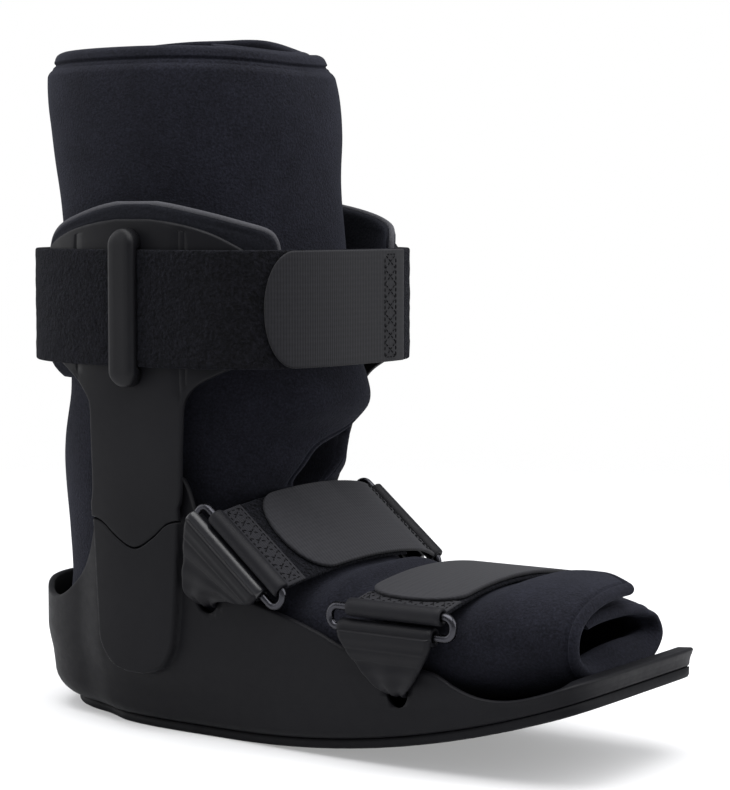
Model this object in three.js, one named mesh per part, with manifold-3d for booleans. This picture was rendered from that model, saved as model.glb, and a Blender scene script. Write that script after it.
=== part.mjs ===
// A short walking boot: a rocker-soled plastic shell with two side uprights, a padded liner
// that is open at the toe and at the leg, and three hook-and-loop straps.
// Millimetres. +X points to the toe, -Y to the side with the strap ends, +Z up.
// The origin is on the floor, under the middle of the sole.

import * as THREE from "three";
import { mergeVertices } from "three/addons/utils/BufferGeometryUtils.js";
import Module from "manifold-3d";

const wasm = await Module();
wasm.setup();

// Sizes that can be set one by one.
const gap = 0.35;

const sole = {
  heelX: -154.5,
  toeX: 161,
  halfWidth: 57,
  sideLean: 7,
  bottomRound: 13,
  heelCap: 45,
  toeCap: 23,
  toeSquareness: 3,
  flatFrom: -78,
  flatTo: -28,
  rockerRadius: 500,
  heelRadius: 900,
};
const outsole = { thickness: 4, inset: 3, grooveEvery: 26, grooveWidth: 3, grooveDepth: 1.5 };
// Heights below are read from a line this far under the tread, and the finished boot is moved down.
const floorHeight = 2.2;
const shell = {
  wall: 3,
  footbedHeight: 24,
  toeFootbedHeight: 45,
  footbedBendLength: 117,
  towerHeight: 119.5,
  sideHeight: 42,
};
const calf = {
  centreX: -63,
  frontReach: 78.2,
  backReach: 80.3,
  sideReach: 70.3,
  ankleReach: 59.5,
  frontSquareness: 3.2,
  backSquareness: 2.5,
  spreadFrom: 92,
  spreadBelowStrap: 27.5,
};
const upright = { thickness: 2.8 };
const boss = { seamHeight: 86, foot: 29 };
const pad = { thickness: 4.6, clearance: 1.15 };
const calfStrap = { width: 50.8, height: 192.5, thickness: 2.2, tabThickness: 1.8, endDepth: 13 };
const keeper = { width: 14, length: 69, thickness: 4, x: -57.4 };
const liner = {
  wall: 5.5,
  layerGap: 0.6,
  flapRise: 5,
  height: 305,
  instepHeight: 100.8,
  halfWidth: 58,
  farToeCut: 4,
};
const ring = { wire: 3.4, length: 63.5, barSpacing: 8.8, corner: 4 };
const anchor = { wall: 1.7, width: 47.5, shift: -2.2, tip: 10 };
const footStrap = { thickness: 2, tabThickness: 1.8, width: 46, shift: 2.4, endDepth: 12 };

const turnOf = Math.PI / 180;

const power = (value, exponent) => Math.sign(value) * Math.abs(value) ** exponent;
const mix = (a, b, share) => a + (b - a) * share;
const eased = (value, low, high) => {
  const share = Math.min(1, Math.max(0, (value - low) / (high - low)));
  return share * share * (3 - 2 * share);
};
const vector = (x, y, z) => new THREE.Vector3(x, y, z);

// A smooth value read from a short table of { at, value } rows.
function reading(rows, at, key = "value") {
  if (at <= rows[0].at) return rows[0][key];
  for (let i = 1; i < rows.length; i++) {
    if (at > rows[i].at) continue;
    const p0 = rows[Math.max(i - 2, 0)];
    const p1 = rows[i - 1];
    const p2 = rows[i];
    const p3 = rows[Math.min(i + 1, rows.length - 1)];
    const span = p2.at - p1.at;
    const s = (at - p1.at) / span;
    const m1 = ((p2[key] - p0[key]) / Math.max(p2.at - p0.at, span)) * span;
    const m2 = ((p3[key] - p1[key]) / Math.max(p3.at - p1.at, span)) * span;
    const s2 = s * s;
    const s3 = s2 * s;
    return (
      (2 * s3 - 3 * s2 + 1) * p1[key] +
      (s3 - 2 * s2 + s) * m1 +
      (3 * s2 - 2 * s3) * p2[key] +
      (s3 - s2) * m2
    );
  }
  return rows[rows.length - 1][key];
}

// Closed surfaces from points.

// Triangles and points to a geometry whose faces point outwards.
function closedGeometry(points, triangles) {
  const raw = new THREE.BufferGeometry();
  raw.setAttribute("position", new THREE.Float32BufferAttribute(points.flatMap((p) => [p.x, p.y, p.z]), 3));
  raw.setIndex(triangles.flat());
  const merged = mergeVertices(raw, 1e-4);
  const index = merged.index.array;
  const at = (i) => vector().fromBufferAttribute(merged.attributes.position, i);
  const kept = [];
  let volume = 0;
  for (let i = 0; i < index.length; i += 3) {
    const [a, b, c] = [index[i], index[i + 1], index[i + 2]];
    if (a === b || b === c || a === c) continue;
    kept.push([a, b, c]);
    volume += at(a).dot(at(b).cross(at(c)));
  }
  merged.setIndex((volume < 0 ? kept.map(([a, b, c]) => [a, c, b]) : kept).flat());
  return merged;
}

// Rings of equally many points, skinned in order. The last ring joins the first if it is closed;
// otherwise the end rings close onto themselves, so their points lie on a line or at one point.
function skinned(rings, closed = false) {
  const count = rings[0].length;
  const triangles = [];
  const last = closed ? rings.length : rings.length - 1;
  for (let r = 0; r < last; r++) {
    for (let c = 0; c < count; c++) {
      const a = r * count + c;
      const b = r * count + ((c + 1) % count);
      const d = ((r + 1) % rings.length) * count;
      triangles.push([a, b, d + ((c + 1) % count)], [a, d + ((c + 1) % count), d + c]);
    }
  }
  return closedGeometry(rings.flat(), triangles);
}

// A sheet with thickness: outer and inner give its two faces at a row and a column.
function sheetGeometry(rows, columns, outer, inner) {
  const points = [];
  for (const face of [outer, inner]) {
    for (let r = 0; r <= rows; r++) {
      for (let c = 0; c <= columns; c++) points.push(face(r / rows, c / columns));
    }
  }
  const wide = columns + 1;
  const layer = (rows + 1) * wide;
  const triangles = [];
  const quad = (a, b, c, d) => {
    const first = points[a].distanceTo(points[c]) <= points[b].distanceTo(points[d]);
    if (first) triangles.push([a, b, c], [a, c, d]);
    else triangles.push([a, b, d], [b, c, d]);
  };
  for (let r = 0; r < rows; r++) {
    for (let c = 0; c < columns; c++) {
      const a = r * wide + c;
      quad(a, a + 1, a + wide + 1, a + wide);
      quad(layer + a, layer + a + wide, layer + a + wide + 1, layer + a + 1);
    }
  }
  for (let c = 0; c < columns; c++) {
    quad(c, layer + c, layer + c + 1, c + 1);
    const top = rows * wide + c;
    quad(top, top + 1, layer + top + 1, layer + top);
  }
  for (let r = 0; r < rows; r++) {
    const left = r * wide;
    quad(left, left + wide, layer + left + wide, layer + left);
    const right = r * wide + columns;
    quad(right, layer + right, layer + right + wide, right + wide);
  }
  return closedGeometry(points, triangles);
}

function solidOf(geometry) {
  const bare = geometry.clone();
  for (const name of Object.keys(bare.attributes)) if (name !== "position") bare.deleteAttribute(name);
  const merged = mergeVertices(bare, 1e-4);
  const triVerts = new Uint32Array(merged.index.array);
  return new wasm.Manifold(
    new wasm.Mesh({ numProp: 3, vertProperties: merged.attributes.position.array, triVerts }),
  );
}

function geometryOf(solid) {
  const mesh = solid.getMesh();
  const geometry = new THREE.BufferGeometry();
  geometry.setAttribute("position", new THREE.BufferAttribute(new Float32Array(mesh.vertProperties), 3));
  geometry.setIndex(new THREE.BufferAttribute(new Uint32Array(mesh.triVerts), 1));
  return geometry;
}

const joined = (...solids) => solids.reduce((all, next) => all.add(next));

// A shape drawn in x and z, pushed through from one y to another.
function sideSolid(shape, fromY, toY, curveSegments = 8) {
  const how = { depth: toY - fromY, bevelEnabled: false, curveSegments };
  const geometry = new THREE.ExtrudeGeometry(shape, how);
  return solidOf(geometry.rotateX(Math.PI / 2).translate(0, toY, 0));
}

function mirrored(geometry) {
  const copy = geometry.clone().scale(1, -1, 1);
  const index = copy.index.array;
  for (let i = 0; i < index.length; i += 3) [index[i + 1], index[i + 2]] = [index[i + 2], index[i + 1]];
  return copy;
}

// Each foot strap has a frame: the middle between the two bars of its near ring, the way its bars
// run, the way from the anchor's bar to the strap's, and the slot's place and outline.

const frames = {
  ankle: { x: -5.2, z: 87, y: 60.3, slant: -39.5, slotX: -26.7, slotZ: 63.8, slotY: 55.5, rise: 13.6 },
  forefoot: { x: 72.3, z: 66, y: 59, slant: 0, slotX: 73.3, slotZ: 36, slotY: 56.4, rise: 12 },
};
frames.ankle.slot = [
  [-0.63, 0.37], [0.63, 0.37], [0.52, -0.03], [0.17, -0.38], [-0.19, -0.38], [-0.53, -0.03],
];
frames.forefoot.slot = [
  [-0.65, 0.56], [0.65, 0.56], [0.57, -0.05], [0.27, -0.5], [0, -0.62], [-0.27, -0.5], [-0.57, -0.05],
];
for (const frame of Object.values(frames)) {
  const turn = frame.slant * turnOf;
  frame.along = vector(Math.cos(turn), 0, Math.sin(turn));
  frame.out = vector(-Math.sin(turn), 0, Math.cos(turn));
}

// Places along the sole, from 0 at the heel to 1 at the toe, and along the calf's section, from -1 at
// its back over 0 in the middle to 1 at its front.

const soleX = (share) => mix(sole.heelX, sole.toeX, share);
const calfX = (share) => calf.centreX + share * (share < 0 ? calf.backReach : calf.frontReach);

// The sole's outline seen from above, and its heights. Rows hold shares of the named sizes.

const solePlan = [
  { along: 0, halfWidth: 0.7895, lean: 0.4286, round: 1 },
  { along: 0.141, halfWidth: 0.8211, lean: 0.5, round: 0.9231 },
  { along: 0.2044, halfWidth: 0.9333, lean: 0.8571, round: 0.6154 },
  { along: 0.2837, halfWidth: 0.9684, lean: 1, round: 0.3846 },
  { along: 0.4263, halfWidth: 0.9737, lean: 0.9286, round: 0.3846 },
  { along: 0.5848, halfWidth: 0.9825, lean: 0.5714, round: 0.3846 },
  { along: 0.7591, halfWidth: 1, lean: 0.4286, round: 0.3077 },
  { along: 1, halfWidth: 0.9474, lean: 0.2143, round: 0.2308 },
].map(({ along, halfWidth, lean, round }) => ({
  at: soleX(along),
  halfWidth: halfWidth * sole.halfWidth,
  lean: lean * sole.sideLean,
  round: round * sole.bottomRound,
}));

const heelSpine = sole.heelX + sole.heelCap;
const toeSpine = sole.toeX - sole.toeCap;

function outlineStations() {
  const side = [];
  const capSteps = 5;
  const sideSteps = 15;
  for (let i = 0; i <= capSteps; i++) {
    const turn = (i / capSteps) * 90 * turnOf;
    const x = heelSpine - sole.heelCap * Math.cos(turn);
    side.push([x, reading(solePlan, x, "halfWidth") * Math.sin(turn)]);
  }
  for (let i = 1; i < sideSteps; i++) {
    const x = mix(heelSpine, toeSpine, i / sideSteps);
    side.push([x, reading(solePlan, x, "halfWidth")]);
  }
  for (let i = capSteps; i >= 0; i--) {
    const turn = (i / capSteps) * 90 * turnOf;
    const x = toeSpine + sole.toeCap * power(Math.cos(turn), 2 / sole.toeSquareness);
    side.push([x, reading(solePlan, x, "halfWidth") * power(Math.sin(turn), 2 / sole.toeSquareness)]);
  }
  const other = side.slice(1, -1).reverse().map(([x, y]) => [x, -y]);
  const loop = [...side, ...other];
  return loop.map(([x, y], i) => {
    const [bx, by] = loop[(i + loop.length - 1) % loop.length];
    const [ax, ay] = loop[(i + 1) % loop.length];
    const long = Math.hypot(ax - bx, ay - by);
    return { x, y, outX: (by - ay) / long, outY: (ax - bx) / long };
  });
}

const stations = outlineStations();

function treadHeight(x) {
  if (x > sole.flatTo) return floorHeight + (x - sole.flatTo) ** 2 / (2 * sole.rockerRadius);
  if (x < sole.flatFrom) return floorHeight + (x - sole.flatFrom) ** 2 / (2 * sole.heelRadius);
  return floorHeight;
}

const shellBottom = (x) => treadHeight(x) + outsole.thickness + gap;

function footbedHeight(x) {
  const from = sole.toeX - shell.footbedBendLength;
  const share = Math.max(0, (x - from) / shell.footbedBendLength);
  return mix(shell.footbedHeight, shell.toeFootbedHeight, share * share);
}

// A ring round the sole: inset and height are read at each station's x.
function outlineRing(insetAt, heightAt) {
  return stations.map(({ x, y, outX, outY }) => {
    const inset = insetAt(x);
    const px = x - outX * inset;
    return vector(px, y - outY * inset, heightAt(px));
  });
}

const spineRing = (heightAt) =>
  stations.map(({ x }) => {
    const px = Math.min(toeSpine, Math.max(heelSpine, x));
    return vector(px, 0, heightAt(px));
  });

const leanAt = (x) => reading(solePlan, x, "lean");
const roundAt = (x) => reading(solePlan, x, "round");

// The side surface that the uprights, their pads and the calf strap follow: a plan curve from
// the front, over the near side (-Y) and the back, narrowing towards the ankle.

const calfLoop = (() => {
  const fine = [];
  const steps = 900;
  let long = 0;
  for (let i = 0; i <= steps; i++) {
    const turn = (i / steps) * 2 * Math.PI;
    const front = Math.cos(turn) > 0;
    const shape = 2 / (front ? calf.frontSquareness : calf.backSquareness);
    const reach = front ? calf.frontReach : calf.backReach;
    const x = calf.centreX + reach * power(Math.cos(turn), shape);
    const y = -calf.sideReach * power(Math.sin(turn), shape);
    if (i > 0) long += Math.hypot(x - fine[i - 1].x, y - fine[i - 1].y);
    fine.push({ x, y, at: long });
  }
  const place = (at) => {
    const wrapped = ((at % long) + long) % long;
    let low = 0;
    let high = steps;
    while (high - low > 1) {
      const middle = (low + high) >> 1;
      if (fine[middle].at > wrapped) high = middle;
      else low = middle;
    }
    const share = (wrapped - fine[low].at) / (fine[high].at - fine[low].at || 1);
    return [mix(fine[low].x, fine[high].x, share), mix(fine[low].y, fine[high].y, share)];
  };
  const alongAt = (x) => {
    const index = fine.findIndex((p) => p.x <= x);
    const [p, q] = [fine[index - 1], fine[index]];
    return mix(p.at, q.at, (p.x - x) / (p.x - q.x || 1));
  };
  return { long, place, alongAt };
})();

const spreadTo = calfStrap.height - calf.spreadBelowStrap;
const sideHalf = (z) => mix(calf.ankleReach, calf.sideReach, eased(z, calf.spreadFrom, spreadTo));

function calfPoint(along, z, offset) {
  const [x, y] = calfLoop.place(along);
  const [bx, by] = calfLoop.place(along - 2);
  const [ax, ay] = calfLoop.place(along + 2);
  const long = Math.hypot(ax - bx, ay - by);
  const share = sideHalf(z) / calf.sideReach;
  return vector(x - ((ay - by) / long) * offset, y * share + ((ax - bx) / long) * offset, z);
}

const nearPoint = (x, z, offset) => calfPoint(calfLoop.alongAt(x), z, offset);

// Outsole: a thin rocker tread, flat where it stands, with grooves across.

function outsoleGeometry() {
  const inset = (extra) => (x) => leanAt(x) + roundAt(x) + outsole.inset + extra - 3;
  const tread = skinned([
    spineRing(treadHeight),
    outlineRing(inset(1), treadHeight),
    outlineRing(inset(0), (x) => treadHeight(x) + 1),
    outlineRing(inset(0), (x) => treadHeight(x) + outsole.thickness),
    spineRing((x) => treadHeight(x) + outsole.thickness),
  ]);
  let solid = solidOf(tread);
  for (let x = sole.flatTo + 8; x < sole.toeX - 12; x += outsole.grooveEvery) {
    const top = treadHeight(x) + outsole.grooveDepth;
    const cutter = new THREE.BoxGeometry(outsole.grooveWidth, 200, 12).translate(x, 0, top - 6);
    solid = solid.subtract(solidOf(cutter));
  }
  return geometryOf(solid);
}

// Shell: a tray with tall walls, cut down to its rim line, with a boss and two slots a side. The
// rim line's points are shares of the sole's length and of the tower's height.

const rimLine = [
  [-0.065, 0.5272], [0.0143, 0.5146], [0.0523, 0.4812], [0.084, 0.4728], [0.1094, 0.4937],
  [0.1347, 0.5397], [0.1569, 0.5983], [0.1743, 0.6695], [0.187, 0.7615], [0.1949, 0.8787],
  [0.2013, 0.9623], [0.2139, 0.9958], [0.2488, 1], [0.3249, 1], [0.3597, 0.9874],
  [0.3724, 0.9372], [0.3819, 0.8619], [0.3978, 0.7615], [0.4231, 0.6527], [0.4612, 0.5774],
  [0.4929, 0.5523], [0.5423, 0.5188], [0.5943, 0.477], [0.6292, 0.441], [0.6672, 0.4159],
  [0.723, 0.3983], [0.7781, 0.3874], [0.8117, 0.3473], [0.8428, 0.323], [0.8796, 0.3205],
  [0.9163, 0.3397], [0.981, 0.3992], [1.0539, 0.4603],
].map(([along, high]) => [soleX(along), high * shell.towerHeight]);

const bossRows = [
  { high: 0, back: -0.0872, front: 0.0384 },
  { high: 0.0351, back: -0.1806, front: 0.1279 },
  { high: 0.1053, back: -0.2428, front: 0.1918 },
  { high: 0.2281, back: -0.2964, front: 0.2404 },
  { high: 0.4035, back: -0.3113, front: 0.2621 },
  { high: 0.7544, back: -0.3288, front: 0.2788 },
  { high: 0.9649, back: -0.3387, front: 0.2877 },
  { high: 1.193, back: -0.3487, front: 0.2967 },
].map(({ high, back, front }) => ({
  at: mix(boss.foot, boss.seamHeight, high),
  back: calfX(back),
  front: calfX(front),
}));

// The wavy seam between boss and upright, as a height over x.
const seamWave = [
  { across: -0.3611, rise: 1.1395 },
  { across: -0.2615, rise: 1.114 },
  { across: -0.1544, rise: 1.043 },
  { across: -0.0249, rise: 0.9953 },
  { across: 0.1151, rise: 1.0628 },
  { across: 0.211, rise: 1.1337 },
  { across: 0.3197, rise: 1.1593 },
].map(({ across, rise }) => ({ at: calfX(across), value: rise * boss.seamHeight }));

const planHalf = (x) => reading(solePlan, x, "halfWidth");

function bossGeometry() {
  const rows = 8;
  const columns = 8;
  const place = (share, across, face) => {
    const z = mix(boss.foot, boss.seamHeight * 1.116, share ** 1.25);
    const x = mix(reading(bossRows, z, "back"), reading(bossRows, z, "front"), across);
    const seam = reading(seamWave, x) - gap - (1 - share) * boss.seamHeight * 0.105;
    const height = mix(z, seam, eased(z, boss.seamHeight * 0.814, boss.seamHeight * 1.116));
    if (face === "inner") return vector(x, -planHalf(x) + 1.6, height);
    return nearPoint(x, height, -0.9 * (1 - eased(z, boss.foot, boss.foot * 1.24)));
  };
  return sheetGeometry(
    rows,
    columns,
    (r, c) => place(r, c, "outer"),
    (r, c) => place(r, c, "inner"),
  );
}

function shellGeometry() {
  const top = shell.towerHeight * 1.13;
  const side = (x) =>
    Math.max(shellBottom(x) + roundAt(x) * 1.5 + 2, shell.sideHeight - Math.max(0, x - soleX(0.68)) * 0.02);
  const tray = solidOf(
    skinned([
      spineRing(shellBottom),
      outlineRing((x) => leanAt(x) + roundAt(x), shellBottom),
      outlineRing((x) => leanAt(x) + roundAt(x) * 0.3, (x) => shellBottom(x) + roundAt(x) * 0.3),
      outlineRing(leanAt, (x) => shellBottom(x) + roundAt(x)),
      outlineRing(() => 0, side),
      outlineRing(() => 0, () => top),
      outlineRing(() => shell.wall, () => top),
      outlineRing((x) => shell.wall + leanAt(x) * 0.1, (x) => Math.max(side(x), footbedHeight(x) + 3)),
      outlineRing((x) => shell.wall + leanAt(x) * 0.5, footbedHeight),
      spineRing(footbedHeight),
    ]),
  );
  const rimShape = new THREE.Shape();
  const over = top * 1.2;
  rimShape.moveTo(rimLine[0][0], over);
  rimShape.lineTo(rimLine[0][0], rimLine[0][1]);
  rimShape.splineThru(rimLine.slice(1).map(([x, z]) => new THREE.Vector2(x, z)));
  rimShape.lineTo(rimLine[rimLine.length - 1][0], over);
  rimShape.closePath();
  const wide = sole.halfWidth * 1.6;
  let solid = tray.subtract(sideSolid(rimShape, -wide, wide, 1));
  const near = bossGeometry();
  solid = joined(solid, solidOf(near), solidOf(mirrored(near)));
  for (const { slotX, slotZ, slot } of Object.values(frames)) {
    const line = slot.map(([x, z]) => new THREE.Vector2(slotX + x * anchor.tip, slotZ + z * anchor.tip));
    const cut = sideSolid(new THREE.Shape(line), sole.halfWidth * 0.8, sole.halfWidth * 1.4);
    solid = solid.subtract(cut).subtract(cut.mirror([0, 1, 0]));
  }
  return geometryOf(solid);
}

// Uprights and pads: sheets on the side surface, from a back edge to a front edge at each height.
// A neck row lies between seam and strap, a wing row beside the strap, in shares of its width.

const besideStrap = (share) => calfStrap.height + share * calfStrap.width;
const belowStrap = (share) => mix(boss.seamHeight, calfStrap.height, share);

const wingRows = [
  { neck: 0, back: -0.3549, front: 0.3005 },
  { neck: 0.1033, back: -0.3524, front: 0.3031 },
  { neck: 0.3192, back: -0.3088, front: 0.3478 },
  { neck: 0.507, back: -0.2665, front: 0.3964 },
  { neck: 0.6009, back: -0.254, front: 0.422 },
  { neck: 0.6479, back: -0.2864, front: 0.454 },
  { wing: -0.6398, back: -0.3425, front: 0.5243 },
  { wing: -0.5413, back: -0.4359, front: 0.6522 },
  { wing: -0.4429, back: -0.5479, front: 0.7801 },
  { wing: -0.2461, back: -0.7347, front: 0.8824 },
  { wing: -0.0098, back: -0.8157, front: 0.9079 },
  { wing: 0.2461, back: -0.7659, front: 0.8824 },
  { wing: 0.4429, back: -0.6538, front: 0.8056 },
  { wing: 0.561, back: -0.5542, front: 0.7033 },
  { wing: 0.6594, back: -0.3861, front: 0.5627 },
  { wing: 0.7283, back: -0.1868, front: 0.3708 },
  { wing: 0.7579, back: -0.0249, front: 0.2046 },
].map(({ neck, wing, back, front }) => ({
  at: wing === undefined ? belowStrap(neck) : besideStrap(wing),
  back: calfX(back),
  front: calfX(front),
}));
const padRows = [
  { wing: -0.6398, back: -0.5604, front: 0.422 },
  { wing: -0.5217, back: -0.7721, front: 0.6266 },
  { wing: -0.4035, back: -0.8468, front: 0.8056 },
  { wing: -0.2264, back: -0.8966, front: 0.9079 },
  { wing: -0.0098, back: -0.9153, front: 0.9463 },
  { wing: 0.2461, back: -0.8966, front: 0.9463 },
  { wing: 0.4626, back: -0.8344, front: 0.9207 },
  { wing: 0.6398, back: -0.6725, front: 0.8696 },
  { wing: 0.7677, back: -0.4234, front: 0.6905 },
  { wing: 0.8563, back: -0.1868, front: 0.4476 },
  { wing: 0.8957, back: -0.0249, front: 0.243 },
].map(({ wing, back, front }) => ({
  at: besideStrap(wing),
  back: calfX(back),
  front: calfX(front),
}));

const alongBetween = (rows, z, share) =>
  mix(calfLoop.alongAt(reading(rows, z, "back")), calfLoop.alongAt(reading(rows, z, "front")), share);

function uprightGeometry() {
  const necks = [0, 0.0657, 0.1408, 0.2535, 0.4131, 0.5634, 0.6291].map(belowStrap);
  const wings = [-0.659, -0.541, -0.423, -0.226, -0.01, 0.246, 0.463, 0.6, 0.709, 0.7579].map(besideStrap);
  const heights = [...necks, ...wings];
  const face = (offset) => (r, c) => {
    const z = heights[Math.round(r * (heights.length - 1))];
    const along = alongBetween(wingRows, z, c);
    const fade = 1 - eased(z, boss.seamHeight, boss.seamHeight * 1.3);
    const lift = (reading(seamWave, calfLoop.place(along)[0]) - boss.seamHeight) * fade;
    return calfPoint(along, z + lift, offset);
  };
  return sheetGeometry(heights.length - 1, 8, face(0), face(-upright.thickness));
}

function padGeometry() {
  const heights = padRows.map((row) => row.at);
  const outer = -upright.thickness - pad.clearance;
  const face = (offset) => (r, c) => {
    const z = heights[Math.round(r * (heights.length - 1))];
    return calfPoint(alongBetween(padRows, z, c), z, offset);
  };
  return sheetGeometry(heights.length - 1, 10, face(outer), face(outer - pad.thickness));
}

// Calf strap: a band round both uprights whose end lies under the hook tab.

function bandGeometry(from, to, columns, halfWidthAt, inner, outer) {
  const face = (offset) => (r, c) => {
    const along = mix(from, to, c);
    return calfPoint(along, calfStrap.height + (r * 2 - 1) * halfWidthAt(along), offset);
  };
  return sheetGeometry(1, columns, face(outer), face(inner));
}

const strapInner = gap;
const strapOuter = gap + calfStrap.thickness;

function calfStrapGeometry() {
  const endX = calfLoop.alongAt(calfX(0.94));
  const half = () => calfStrap.width / 2;
  return bandGeometry(endX, endX + calfLoop.long - 3, 50, half, strapInner, strapOuter);
}

// Half the width near a rounded end: full at its depth from the end and beyond.
const roundedEnd = (half, distance, depth) => {
  const share = Math.min(1, Math.max(0.06, distance / depth));
  return half * (1 - (1 - share) ** 2.6) ** (1 / 2.6);
};

function calfTabGeometry() {
  const from = -27;
  const to = calfLoop.alongAt(calfX(0.849));
  const half = (along) => roundedEnd(calfStrap.width / 2 - 0.3, to - along, calfStrap.endDepth);
  const inner = strapOuter + gap;
  return bandGeometry(from, to, 26, half, inner, inner + calfStrap.tabThickness);
}

// Keepers: a bar over the strap with a foot on the wing above and below it.

function keeperGeometry() {
  const half = keeper.length / 2;
  const inner = strapOuter + gap + 0.3;
  const outer = inner + keeper.thickness;
  const window = calfStrap.width / 2 + 0.9;
  const shape = new THREE.Shape();
  shape.moveTo(-half, gap);
  shape.lineTo(-window, gap);
  shape.lineTo(-window, inner);
  shape.lineTo(window, inner);
  shape.lineTo(window, gap);
  shape.lineTo(half, gap);
  shape.quadraticCurveTo(half, outer - 1, half - 6, outer);
  shape.lineTo(-half + 6, outer);
  shape.quadraticCurveTo(-half, outer - 1, -half, gap);
  const how = { depth: keeper.width, bevelEnabled: false, curveSegments: 4 };
  const bar = new THREE.ExtrudeGeometry(shape, how);
  const place = new THREE.Matrix4().makeBasis(vector(0, 0, 1), vector(0, -1, 0), vector(1, 0, 0));
  place.setPosition(keeper.x - keeper.width / 2, -calf.sideReach, calfStrap.height);
  const turnIn = keeper.width / 2;
  const front = new THREE.Shape();
  front.absarc(keeper.x, calfStrap.height + half - turnIn, turnIn, 0, Math.PI);
  front.absarc(keeper.x, calfStrap.height - half + turnIn, turnIn, Math.PI, 2 * Math.PI);
  return geometryOf(solidOf(bar.applyMatrix4(place)).intersect(sideSolid(front, -100, -60, 6)));
}

// Liner: one sheet wrapped once round the leg and foot, its near flap over its far flap. Each row
// is a cut across the leg or foot, from a point at the back or sole to one at the front or top.
// Angles run from the front, over the near side, the back and the far side to the front again. Places
// along are shares of the sole's length, heights of the liner's, half widths of its widest.

const linerRows = [
  { bx: 0.0412, bz: 1, fx: 0.4105, fz: 1, half: 0.931, start: -58, end: 405, square: 2.2 },
  { bx: 0.0317, bz: 0.9607, fx: 0.4501, fz: 0.9607, half: 0.9828, start: -60, end: 405, square: 2.2 },
  { bx: 0.0365, bz: 0.8852, fx: 0.4612, fz: 0.8852, half: 1, start: -60, end: 405, square: 2.2 },
  { bx: 0.0475, bz: 0.8033, fx: 0.4628, fz: 0.8033, half: 1, start: -60, end: 405, square: 2.2 },
  { bx: 0.0571, bz: 0.7213, fx: 0.4707, fz: 0.7213, half: 1, start: -60, end: 405, square: 2.2 },
  { bx: 0.0618, bz: 0.6393, fx: 0.4802, fz: 0.6393, half: 1, start: -60, end: 405, square: 2.2 },
  { bx: 0.0618, bz: 0.5607, fx: 0.4976, fz: 0.5672, half: 0.9828, start: -54, end: 404, square: 2.2 },
  { bx: 0.055, bz: 0.491, fx: 0.516, fz: 0.521, half: 0.939, start: -42, end: 396, square: 2.2, tuck: 0.95 },
  { bx: 0.042, bz: 0.419, fx: 0.519, fz: 0.486, half: 0.901, start: -34, end: 376, square: 2.3, tuck: 0.95 },
  { bx: 0.039, bz: 0.347, fx: 0.5135, fz: 0.457, half: 0.865, start: -24, end: 330, square: 2.3, tuck: 0.2 },
  { bx: 0.046, bz: 0.2754, fx: 0.4802, fz: 0.4311, half: 0.8414, start: 4, end: 340, square: 2.3, tuck: 0 },
  { bx: 0.053, bz: 0.203, fx: 0.461, fz: 0.404, half: 0.831, start: 22, end: 347, square: 2.4, tuck: 0.2 },
  { bx: 0.050, bz: 0.137, fx: 0.437, fz: 0.376, half: 0.827, start: 16, end: 352, square: 2.4, tuck: 0.7 },
  { bx: 0.0903, bz: 0.0852, fx: 0.4437, fz: 0.3567, half: 0.8328, start: -6, end: 380, square: 2.5 },
  { bx: 0.1791, bz: 0, fx: 0.4739, fz: 1, half: 0.8448, start: -36, end: 400, square: 2.6 },
  { bx: 0.2678, bz: 0, fx: 0.4992, fz: 0.9356, half: 0.8621, start: -50, end: 400, square: 2.6 },
  { bx: 0.3566, bz: 0, fx: 0.5277, fz: 0.8611, half: 0.8672, start: -50, end: 400, square: 2.6 },
  { bx: 0.4422, bz: 0, fx: 0.5594, fz: 0.7867, half: 0.8707, start: -50, end: 400, square: 2.6 },
  { bx: 0.5277, bz: 0, fx: 0.5975, fz: 0.7776, half: 0.8707, start: -50, end: 400, square: 2.6 },
  { bx: 0.6038, bz: 0, fx: 0.6387, fz: 0.7619, half: 0.8759, start: -50, end: 400, square: 2.6 },
  { bx: 0.6799, bz: 0, fx: 0.6862, fz: 0.748, half: 0.8828, start: -50, end: 400, square: 2.6 },
  { bx: 0.7433, bz: 0, fx: 0.7433, fz: 0.744, half: 0.8828, start: -50, end: 400, square: 2.6 },
  { bx: 0.8035, bz: 0, fx: 0.8019, fz: 0.764, half: 0.8793, start: -50, end: 400, square: 2.6 },
  { bx: 0.851, bz: 0, fx: 0.8447, fz: 0.8115, half: 0.8621, start: -38, end: 400, square: 2.6 },
  { bx: 0.9081, bz: 0, fx: 0.9081, fz: 0.8214, half: 0.819, start: -20, end: 399, square: 2.5, tuck: 1.4 },
  { bx: 0.962, bz: 0, fx: 0.9699, fz: 0.8036, half: 0.7414, start: -4, end: 396, square: 2.3, tuck: 2 },
].map((row) => ({
  tuck: 1,
  ...row,
  bx: soleX(row.bx),
  bz: row.bz * liner.height,
  fx: soleX(row.fx),
  fz: row.fz * (row.bz ? liner.height : liner.instepHeight),
  half: row.half * liner.halfWidth,
}));

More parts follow.
